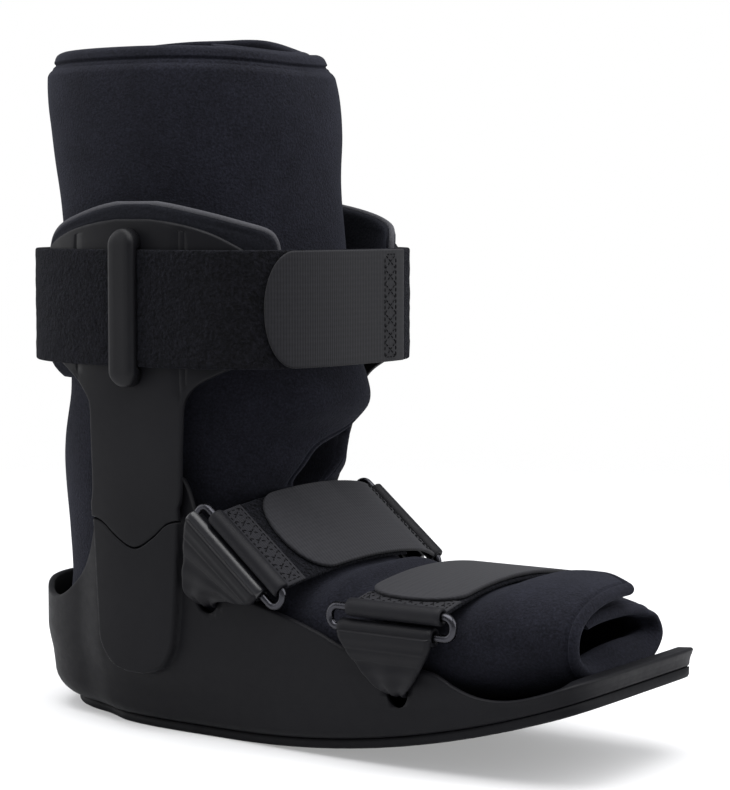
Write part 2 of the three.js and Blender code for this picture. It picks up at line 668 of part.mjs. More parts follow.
function linerPoint(row, angle, sink) {
  const { bx, fx, fz, half, square, tuck } = row;
  const bz = row.bz || footbedHeight(bx) + gap + 0.3;
  const long = Math.hypot(fx - bx, fz - bz) / 2;
  const towards = [(fx - bx) / (2 * long), (fz - bz) / (2 * long)];
  const turn = angle * turnOf;
  const layer = (liner.wall + liner.layerGap) * eased(angle, 245, 298) * tuck;
  const depth = (long - sink - layer) * power(Math.cos(turn), 2 / square);
  const across = (half - sink - layer) * power(Math.sin(turn), 2 / square);
  const high = Math.max(0, Math.min(1, (fz / liner.height - 0.787) / 0.197));
  const rise = liner.flapRise * (eased(angle, 200, 285) - 0.8 * eased(angle, 345, 398)) * high;
  const cut = liner.farToeCut * eased(fx, soleX(0.791), soleX(0.965)) * eased(angle, 180, 300);
  return vector(
    (bx + fx) / 2 + towards[0] * depth - cut,
    -across,
    (bz + fz) / 2 + towards[1] * depth + rise,
  );
}

function linerGeometry() {
  const face = (sink) => (r, c) => {
    const row = linerRows[Math.round(r * (linerRows.length - 1))];
    const even = mix(-60, 405, c);
    let angle = even;
    if (even < 90) angle = mix(row.start, 90, (even + 60) / 150);
    if (even > 250) angle = mix(250, row.end, (even - 250) / 155);
    return linerPoint(row, angle, sink);
  };
  return sheetGeometry(linerRows.length - 1, 31, face(0), face(liner.wall));
}

// Rings, anchors and foot straps.


const framePoint = (frame, along, y, out) =>
  vector(frame.x, y, frame.z).addScaledVector(frame.along, along).addScaledVector(frame.out, out);

function ringGeometry(frame) {
  const halfLong = ring.length / 2 - ring.wire / 2;
  const halfWide = ring.barSpacing / 2;
  const path = [];
  for (let corner = 0; corner < 4; corner++) {
    const signA = corner === 0 || corner === 3 ? 1 : -1;
    const signB = corner < 2 ? 1 : -1;
    for (let i = 0; i <= 2; i++) {
      const turn = (corner + i / 2) * 90 * turnOf;
      path.push([
        signA * (halfLong - ring.corner) + ring.corner * Math.cos(turn),
        signB * (halfWide - ring.corner) + ring.corner * Math.sin(turn),
      ]);
    }
  }
  const sides = 8;
  const rings = path.map(([a, b], i) => {
    const [ba, bb] = path[(i + path.length - 1) % path.length];
    const [aa, ab] = path[(i + 1) % path.length];
    const long = Math.hypot(aa - ba, ab - bb);
    const normal = [(ab - bb) / long, (ba - aa) / long];
    const points = [];
    for (let s = 0; s < sides; s++) {
      const turn = ((s + 0.5) / sides) * 2 * Math.PI;
      const out = (Math.cos(turn) * ring.wire) / 2;
      const y = -frame.y + (Math.sin(turn) * ring.wire) / 2;
      points.push(framePoint(frame, a + normal[0] * out, y, b + normal[1] * out));
    }
    return points;
  });
  return skinned(rings, true);
}

// A round bar's worth of room, or of cloth, along a frame's bars.
function barSolid(frame, side, out, radius, length, shift) {
  const bar = new THREE.CylinderGeometry(radius, radius, length, 12);
  const place = new THREE.Matrix4().makeBasis(frame.out, frame.along, frame.out.clone().cross(frame.along));
  place.setPosition(framePoint(frame, shift, side * frame.y, out));
  return solidOf(bar.applyMatrix4(place));
}

const bore = ring.wire / 2 + gap;

function anchorGeometry(frame) {
  const bar = framePoint(frame, anchor.shift, -frame.y, -ring.barSpacing / 2);
  const slot = vector(frame.slotX, -frame.slotY, frame.slotZ);
  const stops = [
    { point: bar, half: anchor.width / 2, thick: 3.4 },
    { point: bar.clone().lerp(slot, 0.2).add(vector(0, -1.2, 0)), half: anchor.width / 2, thick: 3.4 },
    { point: bar.clone().lerp(slot, 0.5).add(vector(0, -2.6, 0)), half: anchor.width * 0.3, thick: 3.8 },
    { point: slot.clone().add(vector(0, -3.4, 3.8)), half: anchor.width * 0.15, thick: 4.2 },
    { point: slot.clone().add(vector(0, -0.6, 0.6)), half: anchor.tip / 2, thick: 4.4 },
    { point: slot.clone().add(vector(0, 2.2, 0)), half: anchor.tip / 2, thick: 4 },
  ];
  const columns = 4;
  const face = (sign) => (r, c) => {
    const i = Math.round(r * (stops.length - 1));
    const { point, half, thick } = stops[i];
    const before = stops[Math.max(i - 1, 0)].point;
    const after = stops[Math.min(i + 1, stops.length - 1)].point;
    const across = i < 3 ? frame.along : vector(1, 0, 0);
    const through = after.clone().sub(before).cross(across).normalize();
    if (through.y > 0) through.negate();
    if (i === stops.length - 1) through.set(0, 0, 1);
    return point
      .clone()
      .addScaledVector(across, (c * 2 - 1) * half)
      .addScaledVector(through, (sign * thick) / 2);
  };
  const web = solidOf(sheetGeometry(stops.length - 1, columns, face(1), face(-1)));
  const sleeve = barSolid(frame, -1, -ring.barSpacing / 2, bore + anchor.wall, anchor.width, anchor.shift);
  const room = barSolid(frame, -1, -ring.barSpacing / 2, bore, ring.length, 0);
  return geometryOf(web.add(sleeve).subtract(room));
}

// A point on a foot strap: angle 0 at the near ring, 90 over the foot, 180 at the far ring. The
// strap rises over the foot as a parabola, and offset is measured square to it.
function strapPoint(frame, angle, along, offset) {
  const turn = angle * turnOf;
  const start = ring.barSpacing / 2;
  const climb = frame.rise - start;
  const slope = (2 * climb * Math.cos(turn)) / frame.y;
  const long = Math.hypot(1, slope);
  return framePoint(
    frame,
    along,
    -frame.y * Math.cos(turn) - (slope / long) * offset,
    start + climb * Math.sin(turn) ** 2 + offset / long,
  );
}

function footBand(frame, from, to, columns, thickness, liftAt, halfAt) {
  const face = (offset) => (r, c) => {
    const angle = mix(from, to, c);
    const along = footStrap.shift + (r * 2 - 1) * halfAt(angle);
    return strapPoint(frame, angle, along, liftAt(angle) + offset);
  };
  return solidOf(sheetGeometry(1, columns, face(thickness / 2), face(-thickness / 2)));
}

function withSleeve(frame, side, band) {
  const at = ring.barSpacing / 2;
  const sleeve = barSolid(frame, side, at, bore + footStrap.thickness, footStrap.width, footStrap.shift);
  return geometryOf(band.add(sleeve).subtract(barSolid(frame, side, at, bore, ring.length, 0)));
}

function footStrapGeometry(frame) {
  const half = () => footStrap.width / 2;
  return withSleeve(frame, -1, footBand(frame, 0, 118, 20, footStrap.thickness, () => 0, half));
}

function footTabGeometry(frame, endAngle) {
  const over = footStrap.thickness / 2 + gap + footStrap.tabThickness / 2;
  const lift = (angle) => over * (1 - eased(angle, 128, 168));
  const perDegree = ((frame.y + frame.rise) / 2) * turnOf;
  const half = (angle) =>
    roundedEnd(footStrap.width / 2 - 0.3, (angle - endAngle) * perDegree, footStrap.endDepth);
  return withSleeve(frame, 1, footBand(frame, endAngle, 180, 24, footStrap.tabThickness, lift, half));
}

// The whole boot.

const looks = {
  shellPlastic: { color: 0x2b2b2f, roughness: 0.45 },
  outsoleRubber: { color: 0x17171a, roughness: 0.8 },
  uprightPlastic: { color: 0x2c2c30, roughness: 0.42 },
  padFoam: { color: 0x1a1c26, roughness: 0.95 },
  linerCloth: { color: 0x171923, roughness: 0.95 },
  pileStrap: { color: 0x131317, roughness: 1 },
  hookTab: { color: 0x3c3c42, roughness: 0.8 },
  ringSteel: { color: 0x3a3a3e, roughness: 0.35, metalness: 0.9 },
  webbing: { color: 0x232327, roughness: 0.7 },
};

const boot = new THREE.Group();
boot.name = "medical_walking_boot";

function addPiece(name, look, geometry) {
  const material = new THREE.MeshStandardMaterial(looks[look]);
  material.name = look;
  const placed = geometry.clone().translate(-(sole.heelX + sole.toeX) / 2, 0, -floorHeight);
  const mesh = new THREE.Mesh(placed, material);
  mesh.name = name;
  boot.add(mesh);
}

function addPair(name, look, geometry) {
  addPiece(`${name}_right`, look, geometry);
  addPiece(`${name}_left`, look, mirrored(geometry));
}

addPiece("sole_shell", "shellPlastic", shellGeometry());
addPiece("outsole", "outsoleRubber", outsoleGeometry());
addPiece("liner", "linerCloth", linerGeometry());
addPair("upright", "uprightPlastic", uprightGeometry());
addPair("upright_pad", "padFoam", padGeometry());
addPair("keeper", "uprightPlastic", keeperGeometry());
addPiece("calf_strap", "pileStrap", calfStrapGeometry());
addPiece("calf_strap_tab", "hookTab", calfTabGeometry());
for (const [name, tabEnd] of [["ankle", 43], ["forefoot", 35]]) {
  const frame = frames[name];
  addPair(`${name}_ring`, "ringSteel", ringGeometry(frame));
  addPair(`${name}_anchor`, "webbing", anchorGeometry(frame));
  addPiece(`${name}_strap`, "pileStrap", footStrapGeometry(frame));
  addPiece(`${name}_strap_tab`, "hookTab", footTabGeometry(frame, tabEnd));
}

export default boot;
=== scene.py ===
from math import atan2, cos, pi, radians, sin, sqrt

import bmesh
import bpy
import numpy as np
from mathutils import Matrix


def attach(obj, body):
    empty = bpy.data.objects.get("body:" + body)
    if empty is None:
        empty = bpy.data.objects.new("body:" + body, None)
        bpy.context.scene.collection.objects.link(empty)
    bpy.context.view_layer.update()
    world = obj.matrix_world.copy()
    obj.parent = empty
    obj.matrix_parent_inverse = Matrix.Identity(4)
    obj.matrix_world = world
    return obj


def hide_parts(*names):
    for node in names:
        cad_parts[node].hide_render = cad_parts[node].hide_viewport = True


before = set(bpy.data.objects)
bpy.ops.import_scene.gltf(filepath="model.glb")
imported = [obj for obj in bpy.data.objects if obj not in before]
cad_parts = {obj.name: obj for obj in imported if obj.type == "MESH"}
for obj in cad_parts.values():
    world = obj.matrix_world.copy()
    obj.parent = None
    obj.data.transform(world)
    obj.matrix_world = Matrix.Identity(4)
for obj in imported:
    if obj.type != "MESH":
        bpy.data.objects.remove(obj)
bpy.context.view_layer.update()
print("frame loaded:", len(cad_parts), "nodes")

# Shapes are worked out in millimetres, in the boot's own drawing frame, and moved to the
# origin under the sole when they become meshes.
drawingOrigin = np.array([3.25, 0.0, 2.2])
mergeDistance = 2e-6


def power(value, exponent):
    # keeps the sign and raises the size
    return np.sign(value) * np.abs(value) ** exponent


def mix(a, b, share):
    return a + (b - a) * share


def eased(value, low, high):
    # 0 below low, 1 above high, 3s^2 - 2s^3 between
    share = np.clip((value - low) / (high - low), 0, 1)
    return share * share * (3 - 2 * share)


def hump(value, middle, width):
    # bell curve exp(-((v - middle) / width)^2)
    return np.exp(-(((value - middle) / width) ** 2))


def reading(rows, at, column=1):
    # Hermite curve through the rows' values, level past both ends
    table = np.asarray(rows, float)
    keys = table[:, 0]
    values = table[:, column]
    at = np.clip(at, keys[0], keys[-1])
    i = np.clip(np.searchsorted(keys, at), 1, len(keys) - 1)
    before = np.maximum(i - 2, 0)
    after = np.minimum(i + 1, len(keys) - 1)
    span = keys[i] - keys[i - 1]
    s = (at - keys[i - 1]) / span
    m1 = (values[i] - values[before]) / np.maximum(keys[i] - keys[before], span) * span
    m2 = (values[after] - values[i - 1]) / np.maximum(keys[after] - keys[i - 1], span) * span
    s2 = s * s
    s3 = s2 * s
    ends = (2 * s3 - 3 * s2 + 1) * values[i - 1] + (3 * s2 - 2 * s3) * values[i]
    return ends + (s3 - 2 * s2 + s) * m1 + (s3 - s2) * m2


def unit(vectors):
    return vectors / np.linalg.norm(vectors, axis=-1, keepdims=True)


def lengthsAlong(line):
    # the distance walked along the line at each of its places
    return np.concatenate([[0], np.cumsum(np.linalg.norm(np.diff(line, axis=0), axis=1))])


def quarterRound(share):
    # sqrt(1 - (1 - s)^2): steep at 0, level from 1 on
    return np.sqrt(1 - (1 - np.clip(share, 0, 1)) ** 2)


def closing(edge, count):
    # places from 0 to edge, at edge * (1 - cos(turn)), so they crowd at 0
    return edge * (1 - np.cos(np.linspace(0, pi / 2, count)))


def softNoise(points, scale, seed):
    # value noise: random numbers at the corners of cells of the given size, eased between them
    count = 32
    lattice = np.random.RandomState(seed).uniform(-1, 1, (count, count, count))
    cell = np.floor(points / scale).astype(int)
    share = points / scale - cell
    share = share * share * (3 - 2 * share)
    total = 0
    for corner in np.ndindex(2, 2, 2):
        at = (cell + corner) % count
        weight = np.abs(np.subtract(1, corner) - share).prod(-1)
        total = total + lattice[at[..., 0], at[..., 1], at[..., 2]] * weight
    return total


def crowdedStops(long, edge, fine, coarse):
    # places from 0 to long, fine steps apart within edge of both ends and coarse steps between
    ends = closing(edge, max(3, int(edge / fine) + 1))
    steps = max(2, int((long - 2 * edge) / coarse) + 1)
    return np.concatenate([ends, np.linspace(edge, long - edge, steps)[1:-1], (long - ends)[::-1]])


def gridQuads(rows, columns, aroundRows=False, aroundColumns=False):
    index = np.arange(rows * columns).reshape(rows, columns)
    if aroundRows:
        index = np.vstack([index, index[:1]])
    if aroundColumns:
        index = np.hstack([index, index[:, :1]])
    return np.stack([index[:-1, :-1], index[:-1, 1:], index[1:, 1:], index[1:, :-1]], -1).reshape(-1, 4)


def outwards(points, quads):
    # turns every face round if the closed surface's volume comes out negative
    a, b, c, d = (points[quads[:, k]] for k in range(4))
    volume = (a * (np.cross(b, c) + np.cross(c, d))).sum()
    return quads[:, ::-1] if volume < 0 else quads


def makePiece(name, surface, material, replaces=()):
    # A surface is its places, four corners a face and, if it has a third item, flat measures for
    # its UV map. A face whose corner comes twice is a triangle.
    points, quads = surface[:2]
    mesh = bpy.data.meshes.new(name)
    places = (points - drawingOrigin) / 1000
    mesh.vertices.add(len(places))
    mesh.vertices.foreach_set("co", places.astype(np.float32).ravel())
    mesh.loops.add(quads.size)
    mesh.loops.foreach_set("vertex_index", quads.astype(np.int32).ravel())
    mesh.polygons.add(len(quads))
    mesh.polygons.foreach_set("loop_start", np.arange(0, quads.size, 4, dtype=np.int32))
    if len(surface) > 2:
        layer = mesh.uv_layers.new(name="UVMap")
        layer.uv.foreach_set("vector", (surface[2][quads] / 1000).astype(np.float32).ravel())
    mesh.update(calc_edges=True)
    mesh.validate()
    work = bmesh.new()
    work.from_mesh(mesh)
    bmesh.ops.remove_doubles(work, verts=work.verts, dist=mergeDistance)
    work.to_mesh(mesh)
    work.free()
    mesh.shade_smooth()
    mesh.materials.append(material)
    piece = bpy.data.objects.new(name, mesh)
    bpy.context.scene.collection.objects.link(piece)
    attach(piece, "root")
    if replaces:
        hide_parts(*replaces)
    return piece


def makePair(name, surface, material, replaces=True):
    # the near side's piece and its mirror image on the far side
    points, quads, *uv = surface
    pair = []
    for side, sign, faces in (("_right", 1, quads), ("_left", -1, quads[:, ::-1])):
        mirrored = (points * [1, sign, 1], faces, *uv)
        own = (name + side,) if replaces else ()
        pair.append(makePiece(name + side + "_look", mirrored, material, own))
    return pair


def applyModifier(piece, kind, **settings):
    modifier = piece.modifiers.new(kind.lower(), kind)
    for key, value in settings.items():
        setattr(modifier, key, value)
    with bpy.context.temp_override(object=piece, active_object=piece, selected_objects=[piece]):
        bpy.ops.object.modifier_apply(modifier=modifier.name)


def edgeDistance(places, loop):
    # least distance from each place to the closed line through the loop's points
    along = np.roll(loop, -1, 0) - loop
    long = np.maximum((along**2).sum(1), 1e-12)
    best = []
    for chunk in np.array_split(places, len(places) // 4000 + 1):
        away = chunk[:, None] - loop
        share = np.clip((away * along).sum(2) / long, 0, 1)
        best.append(np.sqrt(((away - share[..., None] * along) ** 2).sum(2).min(1)))
    return np.concatenate(best)


def rimOf(grid):
    # the border of a grid, once round
    return np.concatenate([grid[0, :-1], grid[:-1, -1], grid[-1, :0:-1], grid[:0:-1, 0]])


def borderDome(a, b, edge):
    # each place's distance from the border, and the quarter round that it gives within edge
    flat = np.stack([a, b], -1)
    distance = edgeDistance(flat.reshape(-1, 2), rimOf(flat)).reshape(a.shape)
    return distance, quarterRound(distance / edge)


def closedSheet(outer, inner):
    # two grids of places, back to back, joined all round their borders
    rows, columns = outer.shape[:2]
    count = rows * columns
    points = np.concatenate([outer.reshape(-1, 3), inner.reshape(-1, 3)])
    front = gridQuads(rows, columns)
    border = rimOf(np.arange(count).reshape(rows, columns))
    after = np.roll(border, -1)
    side = np.stack([border, border + count, after + count, after], -1)
    return points, outwards(points, np.concatenate([front, front[:, ::-1] + count, side]))


def sheetSurface(a, b, place, thickness, edge, relief=None, innerRelief=None):
    # A sheet drawn in flat measures a and b: its faces lie half the thickness from the middle, and
    # within edge of the border they close in as edge * sqrt(1 - (1 - distance / edge)^2).
    distance, dome = borderDome(a, b, edge)
    half = thickness / 2 - edge + edge * dome
    outer = place(a, b, half + (relief(a, b, distance) if relief else 0))
    inner = place(a, b, -half - (innerRelief(a, b, distance) if innerRelief else 0))
    return *closedSheet(outer, inner), np.tile(np.stack([a, b], -1).reshape(-1, 2), (2, 1))


def tubeSurface(path, radius, sides, closed=False):
    # a round section carried along a path, its first direction turned as little as it can be
    if closed:
        along = unit(np.roll(path, -1, 0) - np.roll(path, 1, 0))
    else:
        along = unit(np.gradient(path, axis=0))
    sideways = [unit(np.cross(along[0], [0.31, 0.95, 0.17]))]
    for t in along[1:]:
        sideways.append(unit(sideways[-1] - t * (sideways[-1] @ t)))
    sideways = np.array(sideways)[:, None]
    upwards = np.cross(along[:, None], sideways)
    turn = np.arange(sides)[:, None] / sides * 2 * pi
    points = path[:, None] + (np.cos(turn) * sideways + np.sin(turn) * upwards) * radius
    points = points.reshape(-1, 3)
    quads = gridQuads(len(path), sides, closed, True)
    if not closed:
        count = len(points)
        points = np.concatenate([points, path[:1], path[-1:]])
        each = np.arange(sides)
        after = (each + 1) % sides
        last = count - sides
        low = np.stack([np.full(sides, count), after, each, each], -1)
        high = np.stack([np.full(sides, count + 1), last + each, last + after, last + after], -1)
        quads = np.concatenate([quads, low, high])
    return points, outwards(points, quads)


def joinSurfaces(surfaces):
    counts = np.cumsum([0] + [len(points) for points, quads in surfaces])
    allQuads = [quads + count for (points, quads), count in zip(surfaces, counts)]
    return np.concatenate([points for points, quads in surfaces]), np.concatenate(allQuads)


def stitchSurface(starts, ends, ups, radius):
    # Each stitch is a small bean from its start to its end: rings of 6 points whose radius and
    # rise follow sqrt(1 - t^2) for t from -1 to 1, so it dives into the cloth at both ends.
    along = unit(ends - starts)
    long = np.linalg.norm(ends - starts, axis=1)[:, None, None]
    ups = unit(ups - along * (ups * along).sum(1)[:, None])
    across = np.cross(along, ups)
    t = np.array([-1, -0.8, -0.35, 0.35, 0.8, 1])[:, None]
    swell = np.sqrt(1 - t * t) * radius
    turn = np.arange(6)[:, None] / 6 * 2 * pi
    spine = (starts + ends)[:, None] / 2 + along[:, None] * t * long / 2 + ups[:, None] * swell * 0.9
    ring = np.cos(turn) * across[:, None, None] + np.sin(turn) * ups[:, None, None]
    points = (spine[:, :, None] + ring * swell[:, None]).reshape(-1, 3)
    each = np.arange(len(starts))[:, None, None] * 36
    return points, outwards(points, (gridQuads(6, 6, False, True) + each).reshape(-1, 4))


def stitchesAlong(line, normals, length, gap, radius):
    # evenly spaced stitches laid along a line of places
    at = lengthsAlong(line)
    starts = np.arange(gap / 2, at[-1] - length, length + gap)
    read = lambda stops, values: np.stack([np.interp(stops, at, column) for column in values.T], -1)
    ups = read(starts + length / 2, normals)
    return stitchSurface(read(starts, line), read(starts + length, line), ups, radius)


print("helpers ready")

# Shader groups. Each puts out a mask or a height that changes over the surface.


def newGroup(name, inputs, outputs):
    # a Vector and named numbers go in, and named numbers come out
    group = bpy.data.node_groups.new(name, "ShaderNodeTree")
    group.interface.new_socket(name="Vector", in_out="INPUT", socket_type="NodeSocketVector")
    for label, value in inputs.items():
        socket = group.interface.new_socket(name=label, in_out="INPUT", socket_type="NodeSocketFloat")
        socket.default_value = value
    for label in outputs:
        group.interface.new_socket(name=label, in_out="OUTPUT", socket_type="NodeSocketFloat")
    return group, group.nodes.new("NodeGroupInput").outputs, group.nodes.new("NodeGroupOutput").inputs


def addNode(tree, kind, **settings):
    node = tree.nodes.new(kind)
    for key, value in settings.items():
        if key in node.inputs:
            node.inputs[key].default_value = value
        else:
            setattr(node, key, value)
    return node


def mathNode(tree, operation, first, second=None):
    node = tree.nodes.new("ShaderNodeMath")
    node.operation = operation
    for slot, value in enumerate((first, second)):
        if value is None:
            continue
        if hasattr(value, "is_output"):
            tree.links.new(value, node.inputs[slot])
        else:
            node.inputs[slot].default_value = value
    return node.outputs[0]


def brushedClothGroup():
    # tangled short loops: a fine noise over fine cells, plus wide soft patches
    scales = {"Loop Scale": 900.0, "Patch Scale": 60.0}
    group, entry, leave = newGroup("brushedCloth", scales, ("Height", "Patches", "Specks"))
    link = group.links.new
    loops = addNode(group, "ShaderNodeTexNoise", Detail=4.0, Roughness=0.72)
    cells = addNode(group, "ShaderNodeTexVoronoi")
    patches = addNode(group, "ShaderNodeTexNoise", Detail=3.0, Roughness=0.6)
    for node, scale in ((loops, "Loop Scale"), (cells, "Loop Scale"), (patches, "Patch Scale")):
        link(entry["Vector"], node.inputs["Vector"])
        link(entry[scale], node.inputs["Scale"])
    tangle = mathNode(group, "MULTIPLY", cells.outputs["Distance"], 0.35)
    link(mathNode(group, "ADD", loops.outputs["Fac"], tangle), leave["Height"])
    link(patches.outputs["Fac"], leave["Patches"])
    link(loops.outputs["Fac"], leave["Specks"])
    return group


def ribWeaveGroup():
    # ribs along the sheet's width, each broken into short picks by a second wave
    scales = {"Rib Scale": 200.0, "Pick Scale": 300.0}
    group, entry, leave = newGroup("ribWeave", scales, ("Height", "Thread"))
    split = addNode(group, "ShaderNodeSeparateXYZ")
    noise = addNode(group, "ShaderNodeTexNoise", Scale=420.0, Detail=2.0)
    for node in (split, noise):
        group.links.new(entry["Vector"], node.inputs["Vector"])
    waves = []
    for axis, scale, weight in ((0, "Rib Scale", 0.7), (1, "Pick Scale", 0.3)):
        turn = mathNode(group, "MULTIPLY", split.outputs[axis], entry[scale])
        waves.append(mathNode(group, "MULTIPLY", mathNode(group, "SINE", turn), weight))
    height = mathNode(group, "ADD", mathNode(group, "MULTIPLY", mathNode(group, "ADD", *waves), 0.5), 0.5)
    group.links.new(height, leave["Height"])
    group.links.new(mathNode(group, "MULTIPLY", height, noise.outputs["Fac"]), leave["Thread"])
    return group


def mouldGrainGroup():
    # moulded plastic: fine pebbled grain and faint wide unevenness, with a few rubbed patches
    group, entry, leave = newGroup("mouldGrain", {"Grain Scale": 1500.0}, ("Height", "Rubbed", "Dust"))
    grain = addNode(group, "ShaderNodeTexNoise", Detail=2.0, Roughness=0.55)
    wide = addNode(group, "ShaderNodeTexNoise", Scale=14.0, Detail=3.0, Roughness=0.5)
    dust = addNode(group, "ShaderNodeTexNoise", Scale=230.0, Detail=5.0, Roughness=0.7)
    group.links.new(entry["Grain Scale"], grain.inputs["Scale"])
    for node, label in ((grain, "Height"), (wide, "Rubbed"), (dust, "Dust")):
        group.links.new(entry["Vector"], node.inputs["Vector"])
        group.links.new(node.outputs["Fac"], leave[label])
    return group


groups = {"cloth": brushedClothGroup(), "rib": ribWeaveGroup(), "mould": mouldGrainGroup()}


def newMaterial(name, **sockets):
    material = bpy.data.materials.new(name)
    material.use_nodes = True
    shader = material.node_tree.nodes["Principled BSDF"]
    for key, value in sockets.items():
        shader.inputs[key].default_value = value
    return material, material.node_tree, shader


def addGroup(tree, group, coordinates, **values):
    node = tree.nodes.new("ShaderNodeGroup")
    node.node_tree = group
    source = addNode(tree, "ShaderNodeTexCoord")
    tree.links.new(source.outputs[coordinates], node.inputs["Vector"])
    for key, value in values.items():
        node.inputs[key].default_value = value
    return node


def addRamp(tree, value, stops):
    ramp = tree.nodes.new("ShaderNodeValToRGB")
    ramp.color_ramp.elements[0].position = stops[0][0]
    ramp.color_ramp.elements[0].color = (*stops[0][1], 1)
    ramp.color_ramp.elements[1].position = stops[-1][0]
    ramp.color_ramp.elements[1].color = (*stops[-1][1], 1)
    for at, colour in stops[1:-1]:
        element = ramp.color_ramp.elements.new(at)
        element.color = (*colour, 1)
    tree.links.new(value, ramp.inputs[0])
    return ramp.outputs[0]


def addBump(tree, shader, height, strength, distance):
    bump = addNode(tree, "ShaderNodeBump", Strength=strength, Distance=distance)
    tree.links.new(height, bump.inputs["Height"])
    tree.links.new(bump.outputs[0], shader.inputs["Normal"])


def shade(colour, factor):
    return tuple(c * factor for c in colour)


def clothMaterial(name, colour, loopScale, bump, spread=0.35, sheen=0.12, patches=0.35, distance=0.0007):
    material, tree, shader = newMaterial(
        name, **{"Roughness": 1.0, "Specular IOR Level": 0.12, "Sheen Weight": sheen, "Sheen Roughness": 0.45}
    )
    shader.inputs["Sheen Tint"].default_value = (0.62, 0.66, 0.9, 1)
    cloth = addGroup(tree, groups["cloth"], "Object", **{"Loop Scale": loopScale, "Patch Scale": 42.0})
    wide = mathNode(tree, "MULTIPLY", cloth.outputs["Patches"], patches)
    mask = mathNode(tree, "ADD", wide, mathNode(tree, "MULTIPLY", cloth.outputs["Specks"], 1 - patches))
    stops = [(0.36, shade(colour, 1 - spread)), (0.5, colour), (0.66, shade(colour, 1 + spread * 1.6))]
    tree.links.new(addRamp(tree, mask, stops), shader.inputs["Base Color"])
    addBump(tree, shader, cloth.outputs["Height"], bump, distance)
    return material


def mouldedMaterial(name, colours, roughnesses, grainScale, bump, distance, **sockets):
    material, tree, shader = newMaterial(name, **sockets)
    mould = addGroup(tree, groups["mould"], "Object", **{"Grain Scale": grainScale})
    greys = [(value,) * 3 for value in roughnesses]
    for mask, socket, (low, high) in (("Rubbed", "Base Color", colours), ("Dust", "Roughness", greys)):
        ramp = addRamp(tree, mould.outputs[mask], [(0.3, low), (0.7, high)])
        tree.links.new(ramp, shader.inputs[socket])
    addBump(tree, shader, mould.outputs["Height"], bump, distance)
    return material


def plasticMaterial(name, colour, roughness, specular, grainScale=1500.0, bump=0.16):
    colours = (shade(colour, 0.86), shade(colour, 1.16))
    roughnesses = (roughness - 0.05, roughness + 0.07)
    sockets = {"Specular IOR Level": specular}
    return mouldedMaterial(name, colours, roughnesses, grainScale, bump, 0.00012, **sockets)


def weaveMaterial(name, colour, ribScale, pickScale, bump, specular):
    sockets = {"Roughness": 0.75, "Specular IOR Level": specular, "Sheen Weight": 0.06}
    material, tree, shader = newMaterial(name, **sockets)
    weave = addGroup(tree, groups["rib"], "UV", **{"Rib Scale": ribScale, "Pick Scale": pickScale})
    stops = [(0.05, shade(colour, 0.75)), (0.32, colour), (0.75, shade(colour, 1.25))]
    tree.links.new(addRamp(tree, weave.outputs["Thread"], stops), shader.inputs["Base Color"])
    addBump(tree, shader, weave.outputs["Height"], bump, 0.00035)
    return material


steelColours = ((0.035, 0.035, 0.04), (0.06, 0.06, 0.068))


finishes = {
    "shell": plasticMaterial("charcoalShellPlastic", (0.0046, 0.0046, 0.0058), 0.52, 0.11),
    "upright": plasticMaterial("charcoalUprightPlastic", (0.0048, 0.0048, 0.006), 0.48, 0.11),
    "keeper": plasticMaterial("satinKeeperPlastic", (0.0056, 0.0056, 0.0068), 0.44, 0.15, 2200.0, 0.1),
    "outsole": plasticMaterial("mattTreadRubber", (0.0044, 0.0044, 0.0055), 0.6, 0.1, 900.0, 0.3),
    "liner": clothMaterial("navyBrushedLoopCloth", (0.0072, 0.0075, 0.0112), 900.0, 0.6, 0.55, 0.04, 0.25),
    "pad": clothMaterial("navyPadCloth", (0.0068, 0.0072, 0.0098), 800.0, 0.4, 0.4, 0.05),
    # pale grey of the pad's cut edge, brightened into a painted highlight; it is laid only along the upper
    # edges, where the light catches
    "padRim": clothMaterial("greyPadEdgePaintedHighlight", (0.058, 0.058, 0.064), 1400.0, 0.35, 0.2, 0.03),
    "pile": clothMaterial("blackLoopPile", (0.0028, 0.0028, 0.0039), 640.0, 1.0, 1.0, 0.03, 0.05, 0.002),
    "hook": weaveMaterial("greyHookTapeBack", (0.0125, 0.0125, 0.0146), 5200.0, 2600.0, 0.25, 0.12),
    # the same grey hook tape as the calf tab, made brighter on the foot straps: painted light for their tops,
    # which face up towards the top softbox
    "footHookPaintedLit": weaveMaterial("greyFootTapeBackPaintedLit", (0.0172, 0.0172, 0.0203), 5200.0, 2600.0, 0.25, 0.14),
    "tape": weaveMaterial("stitchedStrapEnd", (0.0105, 0.0105, 0.0135), 5200.0, 5200.0, 0.3, 0.15),
    "sleeve": plasticMaterial("smoothStrapSleeve", (0.006, 0.006, 0.0078), 0.55, 0.16, 2600.0, 0.2),
    "anchor": plasticMaterial("satinAnchorWebbing", (0.0052, 0.0052, 0.0066), 0.45, 0.14, 2600.0, 0.12),
    "roll": plasticMaterial("glossyAnchorFold", (0.006, 0.006, 0.008), 0.3, 0.5, 2600.0, 0.1),
    "thread": plasticMaterial("blackSewingThread", (0.0025, 0.0025, 0.0033), 0.7, 0.1),
    "steel": mouldedMaterial("darkSteelWire", steelColours, (0.2, 0.36), 700.0, 0.05, 0.0001, Metallic=1.0),
}
print("materials ready:", len(finishes))

# The sole's outline and heights.

sole = {
    "heelX": -154.5,
    "toeX": 161.0,
    "heelCap": 45.0,
    "toeCap": 23.0,
    "toeSquareness": 4.2,
    "flatFrom": -78.0,
    "flatTo": -28.0,
    "rockerRadius": 500.0,
    "heelRadius": 900.0,
    "floor": 2.2,
    "treadThickness": 4.0,
    "seam": 0.35,
    "footbed": 24.0,
    "toeFootbed": 45.0,
    "footbedBend": 117.0,
    "wall": 3.0,
}
